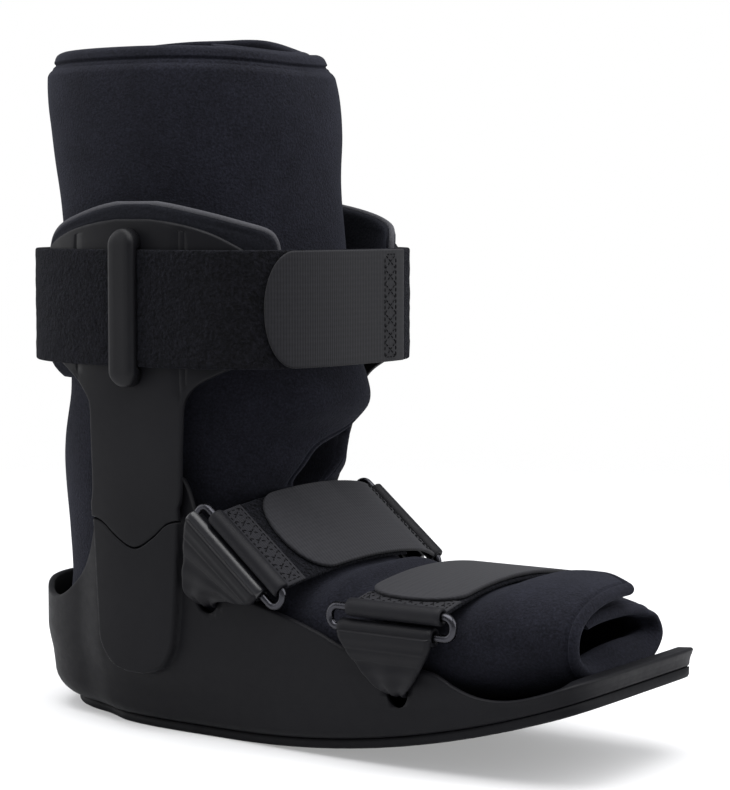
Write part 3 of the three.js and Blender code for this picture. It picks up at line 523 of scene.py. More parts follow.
# x, half width, how far the side leans in at the bottom, bottom rounding
solePlan = [
    (-154.5, 45, 3, 13), (-110, 46.8, 3.5, 12), (-90, 53.2, 6, 8), (-65, 55.2, 7, 5),
    (-20, 55.5, 6.5, 5), (30, 56, 4, 5), (85, 57, 3, 4), (161, 54, 1.5, 1.4),
]  # fmt: skip
heelSpine = sole["heelX"] + sole["heelCap"]
toeSpine = sole["toeX"] - sole["toeCap"]


def treadHeight(x):
    # level between the flat's ends, then a parabola up to heel and toe
    toe = np.maximum(x - sole["flatTo"], 0) ** 2 / (2 * sole["rockerRadius"])
    heel = np.maximum(sole["flatFrom"] - x, 0) ** 2 / (2 * sole["heelRadius"])
    return sole["floor"] + toe + heel


def shellBottom(x):
    return treadHeight(x) + sole["treadThickness"] + sole["seam"]


def footbedHeight(x):
    share = np.maximum(0, (x - sole["toeX"] + sole["footbedBend"]) / sole["footbedBend"])
    return mix(sole["footbed"], sole["toeFootbed"], share * share)


def outlineHalf(turnSteps=24, sideSteps=120):
    # one side of the outline, heel to toe: a round heel cap, the plan's widths, a squarish toe cap
    turn = np.linspace(0, pi / 2, turnSteps)
    heelX = heelSpine - sole["heelCap"] * np.cos(turn)
    heelY = reading(solePlan, heelX) * np.sin(turn)
    sideX = np.linspace(heelSpine, toeSpine, sideSteps)[1:-1]
    toeTurn = turn[::-1]
    shape = 2 / sole["toeSquareness"]
    toeX = toeSpine + sole["toeCap"] * power(np.cos(toeTurn), shape)
    toeY = reading(solePlan, toeX) * power(np.sin(toeTurn), shape)
    x = np.concatenate([heelX, sideX, toeX])
    y = np.concatenate([heelY, reading(solePlan, sideX), toeY])
    return np.stack([x, y], -1)


# The side surface that uprights, pads and calf strap follow.

calf = {
    "centreX": -63.0,
    "frontReach": 78.2,
    "backReach": 80.3,
    "sideReach": 70.3,
    "ankleReach": 59.5,
    "frontSquareness": 3.2,
    "backSquareness": 2.5,
    "spreadFrom": 92.0,
    "spreadTo": 165.0,
}


def makeCalfLoop():
    # superellipse from the front, over the near side and the back, with its length at each step
    turn = np.linspace(0, 2 * pi, 1801)
    front = np.cos(turn) > 0
    shape = np.where(front, 2 / calf["frontSquareness"], 2 / calf["backSquareness"])
    reach = np.where(front, calf["frontReach"], calf["backReach"])
    x = calf["centreX"] + reach * power(np.cos(turn), shape)
    y = -calf["sideReach"] * power(np.sin(turn), shape)
    at = lengthsAlong(np.stack([x, y], -1))
    return x, y, at


loopX, loopY, loopAt = makeCalfLoop()
loopLong = loopAt[-1]


def loopPlace(along):
    wrapped = np.mod(along, loopLong)
    return np.interp(wrapped, loopAt, loopX), np.interp(wrapped, loopAt, loopY)


def alongAt(x):
    return np.interp(-np.asarray(x, float), -loopX[:901], loopAt[:901])


def sideHalf(z):
    return mix(calf["ankleReach"], calf["sideReach"], eased(z, calf["spreadFrom"], calf["spreadTo"]))


def calfPoint(along, z, offset):
    # the loop's place at this length, its sides drawn in towards the ankle, moved out square to it
    along, z, offset = np.broadcast_arrays(along, z, offset)
    x, y = loopPlace(along)
    bx, by = loopPlace(along - 2)
    ax, ay = loopPlace(along + 2)
    long = np.hypot(ax - bx, ay - by)
    share = sideHalf(z) / calf["sideReach"]
    return np.stack([x - (ay - by) / long * offset, y * share + (ax - bx) / long * offset, z], -1)


# Sole shell: one skin from the middle of the bottom, up the side, over the rim and down to the
# footbed, with the boss raised out of it below the upright's seam.

rimLine = [
    (-175, 63), (-150, 61.5), (-138, 57.5), (-128, 56.5), (-120, 59), (-112, 64.5), (-105, 71.5),
    (-99.5, 80), (-95.5, 91), (-93, 105), (-91, 115), (-87, 119), (-76, 119.5), (-52, 119.5),
    (-41, 118), (-37, 112), (-34, 103), (-29, 91), (-21, 78), (-9, 69), (1, 66), (16.6, 62), (33, 57),
    (44, 52.7), (56, 49.7), (73.6, 47.6), (91, 46.3), (101.6, 41.5), (111.4, 38.6), (123, 38.3),
    (134.6, 40.6), (155, 47.7), (178, 55),
]  # fmt: skip
# z, back edge, front edge
bossRows = [
    (29, -70, -60), (31, -77.5, -53), (35, -82.5, -48), (42, -86.8, -44.2), (52, -88, -42.5),
    (72, -89.4, -41.2), (84, -90.2, -40.5), (97, -91, -39.8),
]  # fmt: skip
seamWave = [(-92, 98), (-84, 95.8), (-75.4, 89.7), (-65, 85.6), (-54, 91.4), (-46.5, 97.5), (-38, 99.7)]
shellForm = {"lip": 1.3, "bossEdge": 1.5, "seamGap": 0.45, "toeThicker": 4.5, "floorRound": 4.0}


def shellColumns():
    # outline stations, close together where the boss's edges run, and the way out of each
    half = outlineHalf()
    at = lengthsAlong(half)
    x = half[:, 0]
    density = 0.28 + 1.35 * (hump(x, -86, 7) + hump(x, -45, 7)) + 0.45 * hump(x, -65, 20)
    density = density + 0.5 * hump(x, 155, 14) + 0.35 * hump(x, -110, 22)
    count = np.concatenate([[0], np.cumsum((density[1:] + density[:-1]) / 2 * np.diff(at))])
    stops = np.interp(np.linspace(0, count[-1], int(count[-1]) + 1), count, at)
    side = np.stack([np.interp(stops, at, column) for column in half.T], -1)
    loop = np.concatenate([side, side[-2:0:-1] * [1, -1]])
    along = unit(np.roll(loop, -1, 0) - np.roll(loop, 1, 0))
    return loop, np.stack([-along[:, 1], along[:, 0]], -1)


def bossShare(x, z):
    # 1 on the boss, 0 off it, a quarter round over its side edges and over its edge at the seam
    foot = bossRows[0][0]
    heights = np.linspace(foot, bossRows[-1][0], 120)
    back, front = (np.stack([reading(bossRows, heights, k), heights], -1) for k in (1, 2))
    loop = np.concatenate([back, [[-91, 130], [-39.5, 130]], front[::-1]])
    distance = edgeDistance(np.stack([x, z], -1).reshape(-1, 2), loop).reshape(x.shape)
    inside = (x > reading(bossRows, z, 1)) & (x < reading(bossRows, z, 2)) & (z > foot)
    signed = np.where(inside, distance, -distance)
    below = reading(seamWave, x) - shellForm["seamGap"] - z
    return quarterRound((signed + 0.2) / shellForm["bossEdge"]) * quarterRound(below / 0.8 + 0.5)


def shellSurface():
    # Rings round the outline. A ring's places lie inset from it, and lean in towards the bottom as
    # (1 - share)^0.8 or as a smooth step, whichever is less.
    loop, out = shellColumns()
    x = loop[:, 0]
    lean = reading(solePlan, x, 2)
    rounding = reading(solePlan, x, 3)
    lip = shellForm["lip"]
    high = reading(rimLine, x) - lip
    low = shellBottom(x) + rounding
    side = np.maximum(low + 6, 42 - np.maximum(0, x - 60) * 0.02)
    spine = np.clip(x, heelSpine, toeSpine)
    rows = [np.column_stack([spine, 0 * x, shellBottom(spine)])]

    def ring(inset, height):
        places = loop - out * np.broadcast_to(inset, len(x))[:, None]
        rows.append(np.column_stack([places, np.broadcast_to(height, len(x))]))

    edge = loop - out * (lean + rounding)[:, None]
    for share in (0.5, 0.97):
        px = mix(spine, edge[:, 0], share)
        rows.append(np.column_stack([px, edge[:, 1] * share, shellBottom(px)]))
    for turn in np.linspace(0, pi / 2, 9):
        inset = lean + rounding * (1 - sin(turn))
        ring(inset, shellBottom(x - out[:, 0] * inset) + rounding * (1 - cos(turn)))
    shares = [np.linspace(0, 1, 34), np.linspace(0.13, 0.32, 26), np.linspace(0.68, 0.81, 34)]
    for share in np.unique(np.concatenate(shares))[1:]:
        height = mix(low, high, share)
        height = height + (reading(seamWave, x) - 92) * hump(share, 0.745, 0.06) * hump(x, -65, 40)
        up = np.clip((height - low) / np.maximum(side - low, 4), 0, 1)
        inset = lean * np.minimum(1 - eased(up, 0, 1), (1 - up) ** 0.8)
        places = loop - out * inset[:, None]
        target = -calfPoint(alongAt(np.clip(x, -91.5, -39)), height, 0)[:, 1]
        reach = np.abs(places[:, 1])
        moved = mix(reach, np.maximum(target, reach), bossShare(places[:, 0], height))
        rows.append(np.column_stack([places[:, 0], np.sign(places[:, 1]) * moved, height]))
    for turn in np.linspace(0, pi / 2, 6)[1:]:
        ring(lip * (1 - cos(turn)), high + lip * sin(turn))
    wall = sole["wall"] + shellForm["toeThicker"] * eased(x, 122, 152)
    for turn in np.linspace(0, pi / 2, 6):
        ring(wall - lip * (1 - sin(turn)), high + lip * cos(turn))
    curve = shellForm["floorRound"]
    foot = np.minimum(footbedHeight(x) + curve, high - 0.5)
    for share in (0.25, 0.5, 0.75, 1):
        ring(wall + lean * 0.1 * share, mix(high, foot, share))
    for turn in np.linspace(0, pi / 2, 6)[1:]:
        ring(wall + lean * 0.1 + curve * (1 - cos(turn)), foot - curve * sin(turn))
    for share in (0.5, 1):
        px = mix(x, spine, share)
        rows.append(np.column_stack([px, loop[:, 1] * 0.8 * (1 - share), footbedHeight(px)]))
    points = np.concatenate(rows)
    return points, outwards(points, gridQuads(len(rows), len(x), False, True))


# x, top, half width, depth
slots = [(-26.7, 67.5, 6.4, 8.0), (73.3, 41.6, 6.5, 12.0)]


def slotCutter():
    # half-round slots with flat tops, pushed through both walls
    surfaces = []
    turn = np.linspace(0, pi, 20)
    count = len(turn)
    each = np.arange(count)
    after = (each + 1) % count
    wall = np.stack([each, after, after + count, each + count], -1)
    fan = np.stack([np.zeros(count - 2, int), each[1:-1], each[2:], each[2:]], -1)
    quads = np.concatenate([wall, fan[:, ::-1], fan + count])
    for x, top, wide, deep in slots:
        line = (x + wide * np.cos(turn), top - deep * np.sin(turn) ** 0.9)
        for sign in (-1, 1):
            ends = [np.column_stack([line[0], np.full(count, sign * y), line[1]]) for y in (40.0, 75.0)]
            points = np.concatenate(ends)
            surfaces.append((points, outwards(points, quads)))
    return joinSurfaces(surfaces)


shellPiece = makePiece("sole_shell_look", shellSurface(), finishes["shell"], ("sole_shell",))
cutter = makePiece("slotCutter", slotCutter(), finishes["shell"])
applyModifier(shellPiece, "BOOLEAN", object=cutter, operation="DIFFERENCE", solver="EXACT")
bpy.data.objects.remove(cutter)
print("shell:", len(shellPiece.data.polygons))

# Outsole: cross sections from heel to toe, with grooves across the tread.

tread = {
    "standOut": 1.4, "grooveEvery": 13.0, "grooveWidth": 2.6, "grooveDepth": 1.4, "margin": 5.0, "round": 0.9,
    "heelRun": 30.0, "toeRun": 16.0, "step": 1.3, "narrowest": 0.02, "seamFill": 0.25,
}  # fmt: skip


def outsoleSurface():
    # Each cross section runs over the tread and back along the top. A groove is a smooth step down
    # and up again, shallower on the flat and faded out at the margins.
    inset = lambda x: reading(solePlan, x, 2) + reading(solePlan, x, 3) - tread["standOut"]
    heelEnd = sole["heelX"] + inset(sole["heelX"])
    toeEnd = sole["toeX"] - inset(sole["toeX"])
    middle = np.arange(heelEnd + tread["heelRun"], toeEnd - tread["toeRun"], tread["step"])[1:]
    heelStops = heelEnd + closing(tread["heelRun"], 16)
    toeStops = toeEnd - closing(tread["toeRun"], 16)
    x = np.concatenate([heelStops, middle, toeStops[::-1]])
    half = outlineHalf(60, 300)
    along = unit(np.gradient(half, axis=0))
    moved = half - np.stack([-along[:, 1], along[:, 0]], -1) * inset(half[:, 0])[:, None]
    order = np.argsort(moved[:, 0])
    wide = np.maximum(np.interp(x, moved[order, 0], moved[order, 1]), tread["narrowest"])
    wide[[0, -1]] = tread["narrowest"]
    across = [np.linspace(-1, -0.8, 8), np.linspace(-0.8, 0.8, 17)[1:-1], np.linspace(0.8, 1, 8)]
    y = wide[:, None] * np.concatenate(across)
    fromEdge = wide[:, None] - np.abs(y)
    phase = np.abs((x - sole["flatTo"] - 8) % tread["grooveEvery"] - tread["grooveEvery"] / 2)
    ends = eased(x, heelEnd + 12, heelEnd + 18) * (1 - eased(x, toeEnd - 18, toeEnd - 12))
    flatFrom, flatTo = sole["flatFrom"], sole["flatTo"]
    onFlat = eased(x, flatFrom, flatFrom + 3) * (1 - eased(x, flatTo - 3, flatTo))
    groove = 1 - eased(phase, tread["grooveWidth"] / 2 - 0.5, tread["grooveWidth"] / 2 + 0.5)
    cut = tread["grooveDepth"] * groove * ends * np.maximum(1 - onFlat, 0.6)
    carve = cut[:, None] * eased(fromEdge, tread["margin"] - 1, tread["margin"])
    roundUp = tread["round"] * (1 - quarterRound(fromEdge / tread["round"]))
    low = treadHeight(x)[:, None] + carve + roundUp
    top = treadHeight(x)[:, None] + sole["treadThickness"] + tread["seamFill"] + 0 * y
    x = x[:, None] + 0 * y
    section = np.concatenate([np.stack([x, y, low], -1), np.stack([x, y, top], -1)[:, ::-1]], 1)
    rows, columns = section.shape[:2]
    each = np.arange(columns // 2 - 1)
    end = np.stack([each, each + 1, columns - 2 - each, columns - 1 - each], -1)
    quads = [gridQuads(rows, columns, False, True), end[:, ::-1], end + (rows - 1) * columns]
    points = section.reshape(-1, 3)
    return points, outwards(points, np.concatenate(quads))


makePiece("outsole_look", outsoleSurface(), finishes["outsole"], ("outsole",))
print("outsole done")

# Uprights: plates on the side surface, from a back edge to a front edge at each height.

upright = {
    "thickness": 2.8, "edge": 1.15, "grooves": (-89.5, -31.2, -28.2), "grooveWidth": 0.55,
    "grooveDepth": 0.55, "grooveCurve": 0.42,
}  # fmt: skip
# z, back edge, front edge
wingRows = [
    (86, -91.5, -39.5), (97, -91.3, -39.3), (120, -87.8, -35.8), (140, -84.4, -32), (150, -83.4, -30),
    (155, -86, -27.5), (160, -90.5, -22), (165, -98, -12), (170, -107, -2), (180, -122, 6),
    (192, -128.5, 8), (205, -124.5, 6), (215, -115.5, 0), (221, -107.5, -8), (226, -94, -19),
    (229.5, -78, -34), (231, -65, -47),
]  # fmt: skip
padRows = [
    (160, -108, -30), (166, -125, -14), (172, -131, 0), (181, -135, 8), (192, -136.5, 11),
    (205, -135, 9.5), (214, -131, 8.5), (222, -121.5, 7.5), (226, -114, 4.5), (229, -106, -4.5),
    (232, -95, -16), (236, -78, -36), (238, -65, -50),
]  # fmt: skip


def plateGrid(rows, heights, edge, fillSteps, keepX=()):
    # Columns run from the back edge to the front edge of each height, close together at both,
    # and the columns of keepX hold their own x wherever the plate is wide enough.
    back = reading(rows, heights, 1)
    front = reading(rows, heights, 2)
    near = np.concatenate([closing(edge, 5), [edge * 1.6, edge * 2.4]])
    room = (front - back)[:, None] * 0.22

    def inwards(border):
        slope = np.sqrt(1 + np.clip(np.gradient(border, heights), -6, 6) ** 2)
        return np.minimum(near * slope[:, None], room * near / near[-1])

    left = back[:, None] + inwards(back)
    right = front[:, None] - inwards(front)
    inner = [left[:, -1]]
    for k, x in enumerate(keepX):
        low = inner[-1] + (0.1 if k % 4 else 0.6)
        inner.append(np.clip(x, low, right[:, -1] - 0.1 * (len(keepX) - k) - 0.6))
    inner.append(right[:, -1])
    columns = [left]
    for first, last in zip(inner[:-1], inner[1:]):
        steps = max(1, int(round(float(np.max(last - first)) / ((front - back).max() / fillSteps))))
        shares = np.linspace(0, 1, steps + 1)[1:]
        columns.append(first[:, None] + (last - first)[:, None] * shares)
    columns.append(right[:, ::-1][:, 1:])
    return np.concatenate(columns, 1)


def uprightSurface():
    # the plate's lower edge follows the seam's wave, and its grooves are bell curves across x
    thickness = upright["thickness"]
    foot, top = wingRows[0][0], wingRows[-1][0]
    ends = closing(upright["edge"], 5)
    low = [foot + ends, np.linspace(88.5, 147, 26), np.linspace(149, 176, 26)]
    high = [np.linspace(178, 214, 15), np.linspace(215.5, 228.5, 16), (top - ends)[::-1]]
    heights = np.concatenate(low + high)
    wide = upright["grooveWidth"]
    keep = [groove + shift for groove in upright["grooves"] for shift in (-wide, 0, wide)]
    x = plateGrid(wingRows, heights, upright["edge"], 34, keep)
    z = heights[:, None] + 0 * x
    lift = (reading(seamWave, x) - foot) * (1 - eased(z, foot, 112))

    def place(a, b, offset):
        return calfPoint(a, b + lift, offset - thickness / 2)

    def relief(a, b, distance):
        deep = sum(hump(x, groove, upright["grooveCurve"]) for groove in upright["grooves"])
        return -upright["grooveDepth"] * deep * eased(b, 150, 156) * np.clip(distance / 0.8, 0, 1)

    return sheetSurface(alongAt(x), z, place, thickness, upright["edge"], relief)


makePair("upright", uprightSurface(), finishes["upright"])
print("uprights done")

# Upright pads: foam between liner and upright, with a pale bead along the upper part of their edges: the
# edge's own grey, brightened as a painted highlight where it catches the light.

pad = {"thickness": 4.6, "clearance": 1.15, "edge": 1.9, "border": 2.2, "rimRadius": 1.35}
padMiddle = -upright["thickness"] - pad["clearance"] - pad["thickness"] / 2


def padSurface():
    ends = closing(pad["border"], 5)
    foot, top = padRows[0][0], padRows[-1][0]
    heights = np.concatenate([foot + ends, np.linspace(164, 234, 42), (top - ends)[::-1]])
    x = plateGrid(padRows, heights, pad["border"], 40)
    z = heights[:, None] + 0 * x

    def place(a, b, offset):
        return calfPoint(a, b, offset + padMiddle)

    def relief(a, b, distance):
        spot = np.stack([a, b, 0 * a], -1)
        return 0.25 * softNoise(spot, 17, 3) * eased(distance, 0, 6) - 0.35 * hump(distance, 3.4, 0.9)

    return sheetSurface(alongAt(x), z, place, pad["thickness"], pad["edge"], relief)


def padRimSurface():
    # a thin pale bead along the upper part of the pad's back and front edges: the cut foam's own grey,
    # brightened as a painted highlight where the edge catches the light
    heights = np.linspace(172, 237.4, 70)
    back, front = (np.stack([alongAt(reading(padRows, heights, k)), heights], -1) for k in (1, 2))
    line = np.concatenate([back, front[::-1]])
    return tubeSurface(calfPoint(line[:, 0], line[:, 1], padMiddle + 0.5), pad["rimRadius"], 10)


pads = makePair("upright_pad", padSurface(), finishes["pad"])
makePair("upright_pad_rim_highlight", padRimSurface(), finishes["padRim"], replaces=False)
print("pads done")

# Calf strap and its tab.

calfStrap = {
    "width": 50.8, "height": 192.5, "thickness": 2.2, "tabThickness": 1.8, "endDepth": 13.0,
    "startX": 10.5, "startGap": 3.0, "edge": 1.1, "tabFrom": -31.0, "tabEndX": 2.8, "tabEdge": 0.75,
    "lattice": (-22.5, -13.5), "latticeCells": 7, "latticeMargin": 2.5, "pileDepth": 0.22,
}  # fmt: skip


def acrossShares(width, edge):
    # from -1 to 1 across a width, close together within edge of both sides
    return crowdedStops(width, edge, edge / 4, 2.2) * 2 / width - 1


def strapGrid(stops, half, width, edge):
    # flat measures of a strap: stops along it, and shares of its half width across it
    b = acrossShares(width, edge)[:, None] * np.broadcast_to(half, len(stops))
    return stops + 0 * b, b


def roundedEnd(half, distance, depth):
    # half width near a rounded end: half * (1 - (1 - distance / depth)^2.1)^(1 / 2.1)
    share = np.clip(distance / depth, 0.004, 1)
    return half * (1 - (1 - share) ** 2.1) ** (1 / 2.1)


def pileRelief(seed, depth):
    # the pile's uneven tufts
    def relief(a, b, distance):
        spot = np.stack([a, b, 0 * a], -1)
        tufts = softNoise(spot, 2.6, seed) + 0.6 * softNoise(spot, 5.5, seed + 1)
        return depth * tufts * eased(distance, 0, 1.5)

    return relief


def calfStrapSurface():
    edge = calfStrap["edge"]
    width = calfStrap["width"]
    start = float(alongAt(calfStrap["startX"]))
    stops = start + crowdedStops(loopLong - calfStrap["startGap"], edge, 0.3, 1.5)
    a, b = strapGrid(stops, width / 2, width, edge)
    middle = sole["seam"] + calfStrap["thickness"] / 2

    def place(a, b, offset):
        return calfPoint(a, calfStrap["height"] + b, middle + offset)

    return sheetSurface(a, b, place, calfStrap["thickness"], edge, pileRelief(11, calfStrap["pileDepth"]))


def calfTabPlace(a, b, offset):
    middle = 2 * sole["seam"] + calfStrap["thickness"] + calfStrap["tabThickness"] / 2
    return calfPoint(a, calfStrap["height"] + b, middle + offset)


def calfTabSurface():
    # straight at the sewn end, round at the other
    start = calfStrap["tabFrom"]
    end = float(alongAt(calfStrap["tabEndX"]))
    depth = calfStrap["endDepth"]
    sewn = start + np.array([0, 0.12, 0.4, 0.9])
    stops = np.concatenate([sewn, np.linspace(start + 2, end - 14, 50), (end - closing(depth, 22))[::-1]])
    width = calfStrap["width"]
    a, b = strapGrid(stops, roundedEnd(width / 2 - 0.3, end - stops, depth), width, 0.9)
    return sheetSurface(a, b, calfTabPlace, calfStrap["tabThickness"], calfStrap["tabEdge"])


makePiece("calf_strap_look", calfStrapSurface(), finishes["pile"], ("calf_strap",))
makePiece("calf_strap_tab_look", calfTabSurface(), finishes["hook"], ("calf_strap_tab",))
print("calf strap done")

# Keepers: raised rounded bars with a foot above and below the strap.

keeper = {
    "width": 14.0, "length": 69.0, "thickness": 4.0, "x": -57.4, "edge": 2.2, "clearance": 0.3,
    "endDrop": 1.2, "endRun": 9.0,
}  # fmt: skip


def keeperSurface():
    # a stadium seen from the side; its inner face rises over the strap between the two feet
    halfWide = keeper["width"] / 2
    halfLong = keeper["length"] / 2
    edge = keeper["edge"]
    near = closing(edge, 7) - halfLong
    v = np.concatenate([near, np.linspace(edge + 0.8 - halfLong, halfLong - edge - 0.8, 60), -near[::-1]])
    inside = np.clip((np.abs(v) - (halfLong - halfWide)) / halfWide, 0, 1)
    half = halfWide * np.sqrt(np.maximum(1 - inside**2, 0.0004))
    a = half[:, None] * acrossShares(keeper["width"], edge)
    b = v[:, None] + 0 * a
    dome = borderDome(a, b, edge)[1]
    clearance = keeper["clearance"]
    strapTop = sole["seam"] * 2 + calfStrap["thickness"] + clearance
    strapSide = calfStrap["width"] / 2
    inner = mix(clearance, strapTop, 1 - eased(np.abs(b), strapSide + 0.4, strapSide + 1.6))
    outer = strapTop + keeper["thickness"] - edge + edge * dome
    outer = outer - keeper["endDrop"] * eased(np.abs(b), halfLong - keeper["endRun"], halfLong) ** 2
    along = alongAt(keeper["x"] + a)
    z = calfStrap["height"] + b
    return closedSheet(calfPoint(along, z, outer), calfPoint(along, z, inner))


makePair("keeper", keeperSurface(), finishes["keeper"])
print("keepers done")

# Liner: one padded sheet wrapped once round leg and foot, its near flap over its far flap.

liner = {
    "wall": 5.5, "layerGap": 0.6, "collarRise": 2.0, "flapRise": 9.5, "frontDip": 2.5, "hemWidth": 3.8,
    "meanRadius": 55.0, "firstDegree": -60.0, "lastDegree": 405.0, "hemEdge": 2.75, "footBulge": 11.5,
}  # fmt: skip
# bx, bz, fx, fz, half width, start angle, end angle, squareness, tuck
linerRows = [
    (-141.5, 305, -18, 305, 54, -58, 405, 2.2, 1), (-144.5, 293, -12.5, 293, 57, -60, 405, 2.2, 1),
    (-143, 270, -9, 270, 58, -60, 405, 2.2, 1), (-139.5, 245, -8.5, 245, 58, -60, 405, 2.2, 1),
    (-136.5, 220, -6, 220, 58, -60, 405, 2.2, 1), (-135, 195, -3, 195, 58, -60, 405, 2.2, 1),
    (-135, 171, 2.5, 173, 57, -54, 404, 2.2, 1), (-137, 150, 8.5, 159, 54.5, -42, 396, 2.2, 0.95),
    (-141, 128, 9.5, 148.5, 52.3, -34, 376, 2.3, 0.95), (-142, 106, 2, 139.5, 50.2, -24, 330, 2.3, 0.2),
    (-140, 84, -1, 131.5, 48.8, 2, 340, 2.3, 0), (-137.5, 62, -2, 123.5, 48.2, 12, 347, 2.4, 0.2),
    (-138.5, 42, -7.5, 114.8, 48, 14, 352, 2.4, 0.7), (-126, 26, -14.5, 108.8, 48.3, -6, 380, 2.5, 1),
    (-98, 0, -5, 100.8, 49, -36, 400, 2.6, 1), (-70, 0, 3, 94.3, 50, -50, 400, 2.6, 1),
    (-42, 0, 12, 86.8, 50.3, -50, 400, 2.6, 1), (-15, 0, 22, 79.3, 50.5, -50, 400, 2.6, 1),
    (12, 0, 34, 78.4, 50.5, -50, 400, 2.6, 1), (36, 0, 47, 76.8, 50.8, -50, 400, 2.6, 1),
    (60, 0, 62, 75.4, 51.2, -50, 400, 2.6, 1), (80, 0, 80, 75, 51.2, -50, 400, 2.6, 1),
    (99, 0, 98.5, 77, 51, -50, 400, 2.6, 1), (114, 0, 112, 81.8, 50, -38, 400, 2.6, 1),
    (132, 0, 132, 82.8, 47.5, -20, 399, 2.5, 1.4), (149, 0, 151.5, 81, 43, -4, 412, 2.3, 1.65),
]  # fmt: skip


def linerTable():
    # the rows' table with their lengths along the liner put first
    table = np.array(linerRows, float)
    low = table[:, 1] == 0
    table[low, 1] = footbedHeight(table[low, 0]) + sole["seam"] + 0.3
    middles = (table[:, 0:2] + table[:, 2:4]) / 2
    return np.column_stack([lengthsAlong(middles), table])


def linerPoint(keyed, row, angle, sink):
    # Across each row the sheet is a superellipse from the back or sole point to the front or top
    # point; the far flap dives one layer deeper before it passes under the near flap.
    bx, bz, fx, fz, half, square, tuck = (reading(keyed, row, k) for k in (1, 2, 3, 4, 5, 8, 9))
    reach = np.hypot(fx - bx, fz - bz) / 2
    towardsX = (fx - bx) / (2 * reach)
    towardsZ = (fz - bz) / (2 * reach)
    turn = np.radians(angle)
    layer = (liner["wall"] + liner["layerGap"]) * eased(angle, 245, 298) * tuck
    depth = (reach - sink - layer) * power(np.cos(turn), 2 / square)
    across = (half - sink - layer) * power(np.sin(turn), 2 / square)
    high = np.clip((fz - 240) / 60, 0, 1)
    dip = liner["frontDip"] * hump(np.minimum(np.abs(angle), np.abs(angle - 360)), 0, 36)
    flap = eased(angle, 150, 245) - 0.85 * eased(angle, 262, 322)
    rise = (liner["collarRise"] + liner["flapRise"] * flap - dip) * high
    cut = eased(fx, 95, 150) * np.where(angle < 180, 0, 5 * eased(angle, 180, 300))
    x = (bx + fx) / 2 + towardsX * depth - cut
    z = (bz + fz) / 2 + towardsZ * depth + rise
    return np.stack([x, -across, z], -1)


def linerSurface():
    # Flat measures: even steps round the leg, stretched to each row's start and end angle, by
    # steps along the liner.
    keyed = linerTable()
    long = keyed[-1, 0]
    wall = liner["wall"]
    hems = [np.linspace(3, 12, 24), long - np.linspace(3, 9, 10)]
    hemEdge = liner["hemEdge"]
    rowStops = np.unique(np.concatenate([crowdedStops(long, hemEdge, 0.45, 2.6), *hems]))[:, None]
    first, last = liner["firstDegree"], liner["lastDegree"]
    degreeLong = liner["meanRadius"] * pi / 180
    girth = (last - first) * degreeLong
    near = np.linspace(3, 10, 9)
    across = np.unique(np.concatenate([crowdedStops(girth, hemEdge, 0.45, 2.3), near, girth - near]))
    even = across / degreeLong + first
    start = reading(keyed, rowStops, 6)
    end = reading(keyed, rowStops, 7)
    angle = np.where(even < 90, mix(start, 90, (even - first) / (90 - first)), even)
    angle = np.where(even > 250, mix(250, end, (even - 250) / (last - 250)), angle)
    row = rowStops + 0 * angle

    def place(a, b, offset):
        return linerPoint(keyed, row, angle, wall / 2 - offset)

    plain = place(angle, row, 0)

    def relief(a, b, distance):
        # hems and binding: a soft roll at the border, a sewn groove, and slow unevenness beyond
        band = 0.4 * (1 - eased(b, 4.6, 5.6)) - 0.8 * hump(b, 5.9, 0.7) - 0.3 * hump(b, 7.9, 0.6)
        body = 1.7 * (eased(b, 6.2, 11) - eased(b, 26, 70))
        hem = -1.2 * hump(distance, liner["hemWidth"], 0.8) * eased(b, 10, 22)
        slow = 0.5 * softNoise(plain, 34, 5) + 0.28 * softNoise(plain, 15, 6)
        ankle = hump(plain[..., 2], 138, 22) * eased(plain[..., 0], -70, -20)
        crease = 1.1 * softNoise(plain * np.array([0.6, 1, 1.9]), 21, 8) * ankle
        behindStrap = 3.0 * hump(plain[..., 0], 32, 7) * eased(plain[..., 2], 58, 74)
        soft = slow * eased(distance, 2, 12) + crease * eased(distance, 3, 12)
        return (band + body + hem + behindStrap + soft) * eased(distance, 0, 1.4)

    def innerRelief(a, b, distance):
        underFoot = hump(angle, 195, 72) * eased(plain[..., 0], 112, 140)
        return (0.5 * softNoise(plain, 26, 7) + liner["footBulge"] * underFoot) * eased(distance, 0, 9)

    return sheetSurface(angle * degreeLong, row, place, wall, wall / 2, relief, innerRelief)


linerPiece = makePiece("liner_look", linerSurface(), finishes["liner"], ("liner",))
print("liner:", len(linerPiece.data.polygons))

# Rings, anchors and foot straps.

ring = {"wire": 3.4, "barSpacing": 8.8, "corner": 4.0}
anchor = {"wall": 2.1, "tip": 10.0}
footStrap = {
    "thickness": 2.0, "tabThickness": 1.8, "width": 46.5, "shift": 2.4, "endDepth": 12.0, "sleeve": 2.0,
    "edge": 1.0, "tabEdge": 0.75, "endDegree": 118.0, "tapeFrom": 9.0, "tapeLong": 16.5, "tapeThickness": 0.9,
    "lattice": (14.5, 24.0), "tabLattice": (-25.0, -14.5), "latticeCells": 8, "latticeMargin": 2.0,
}  # fmt: skip
thread = {"length": 1.9, "gap": 0.7, "radius": 0.26, "lift": 0.35}
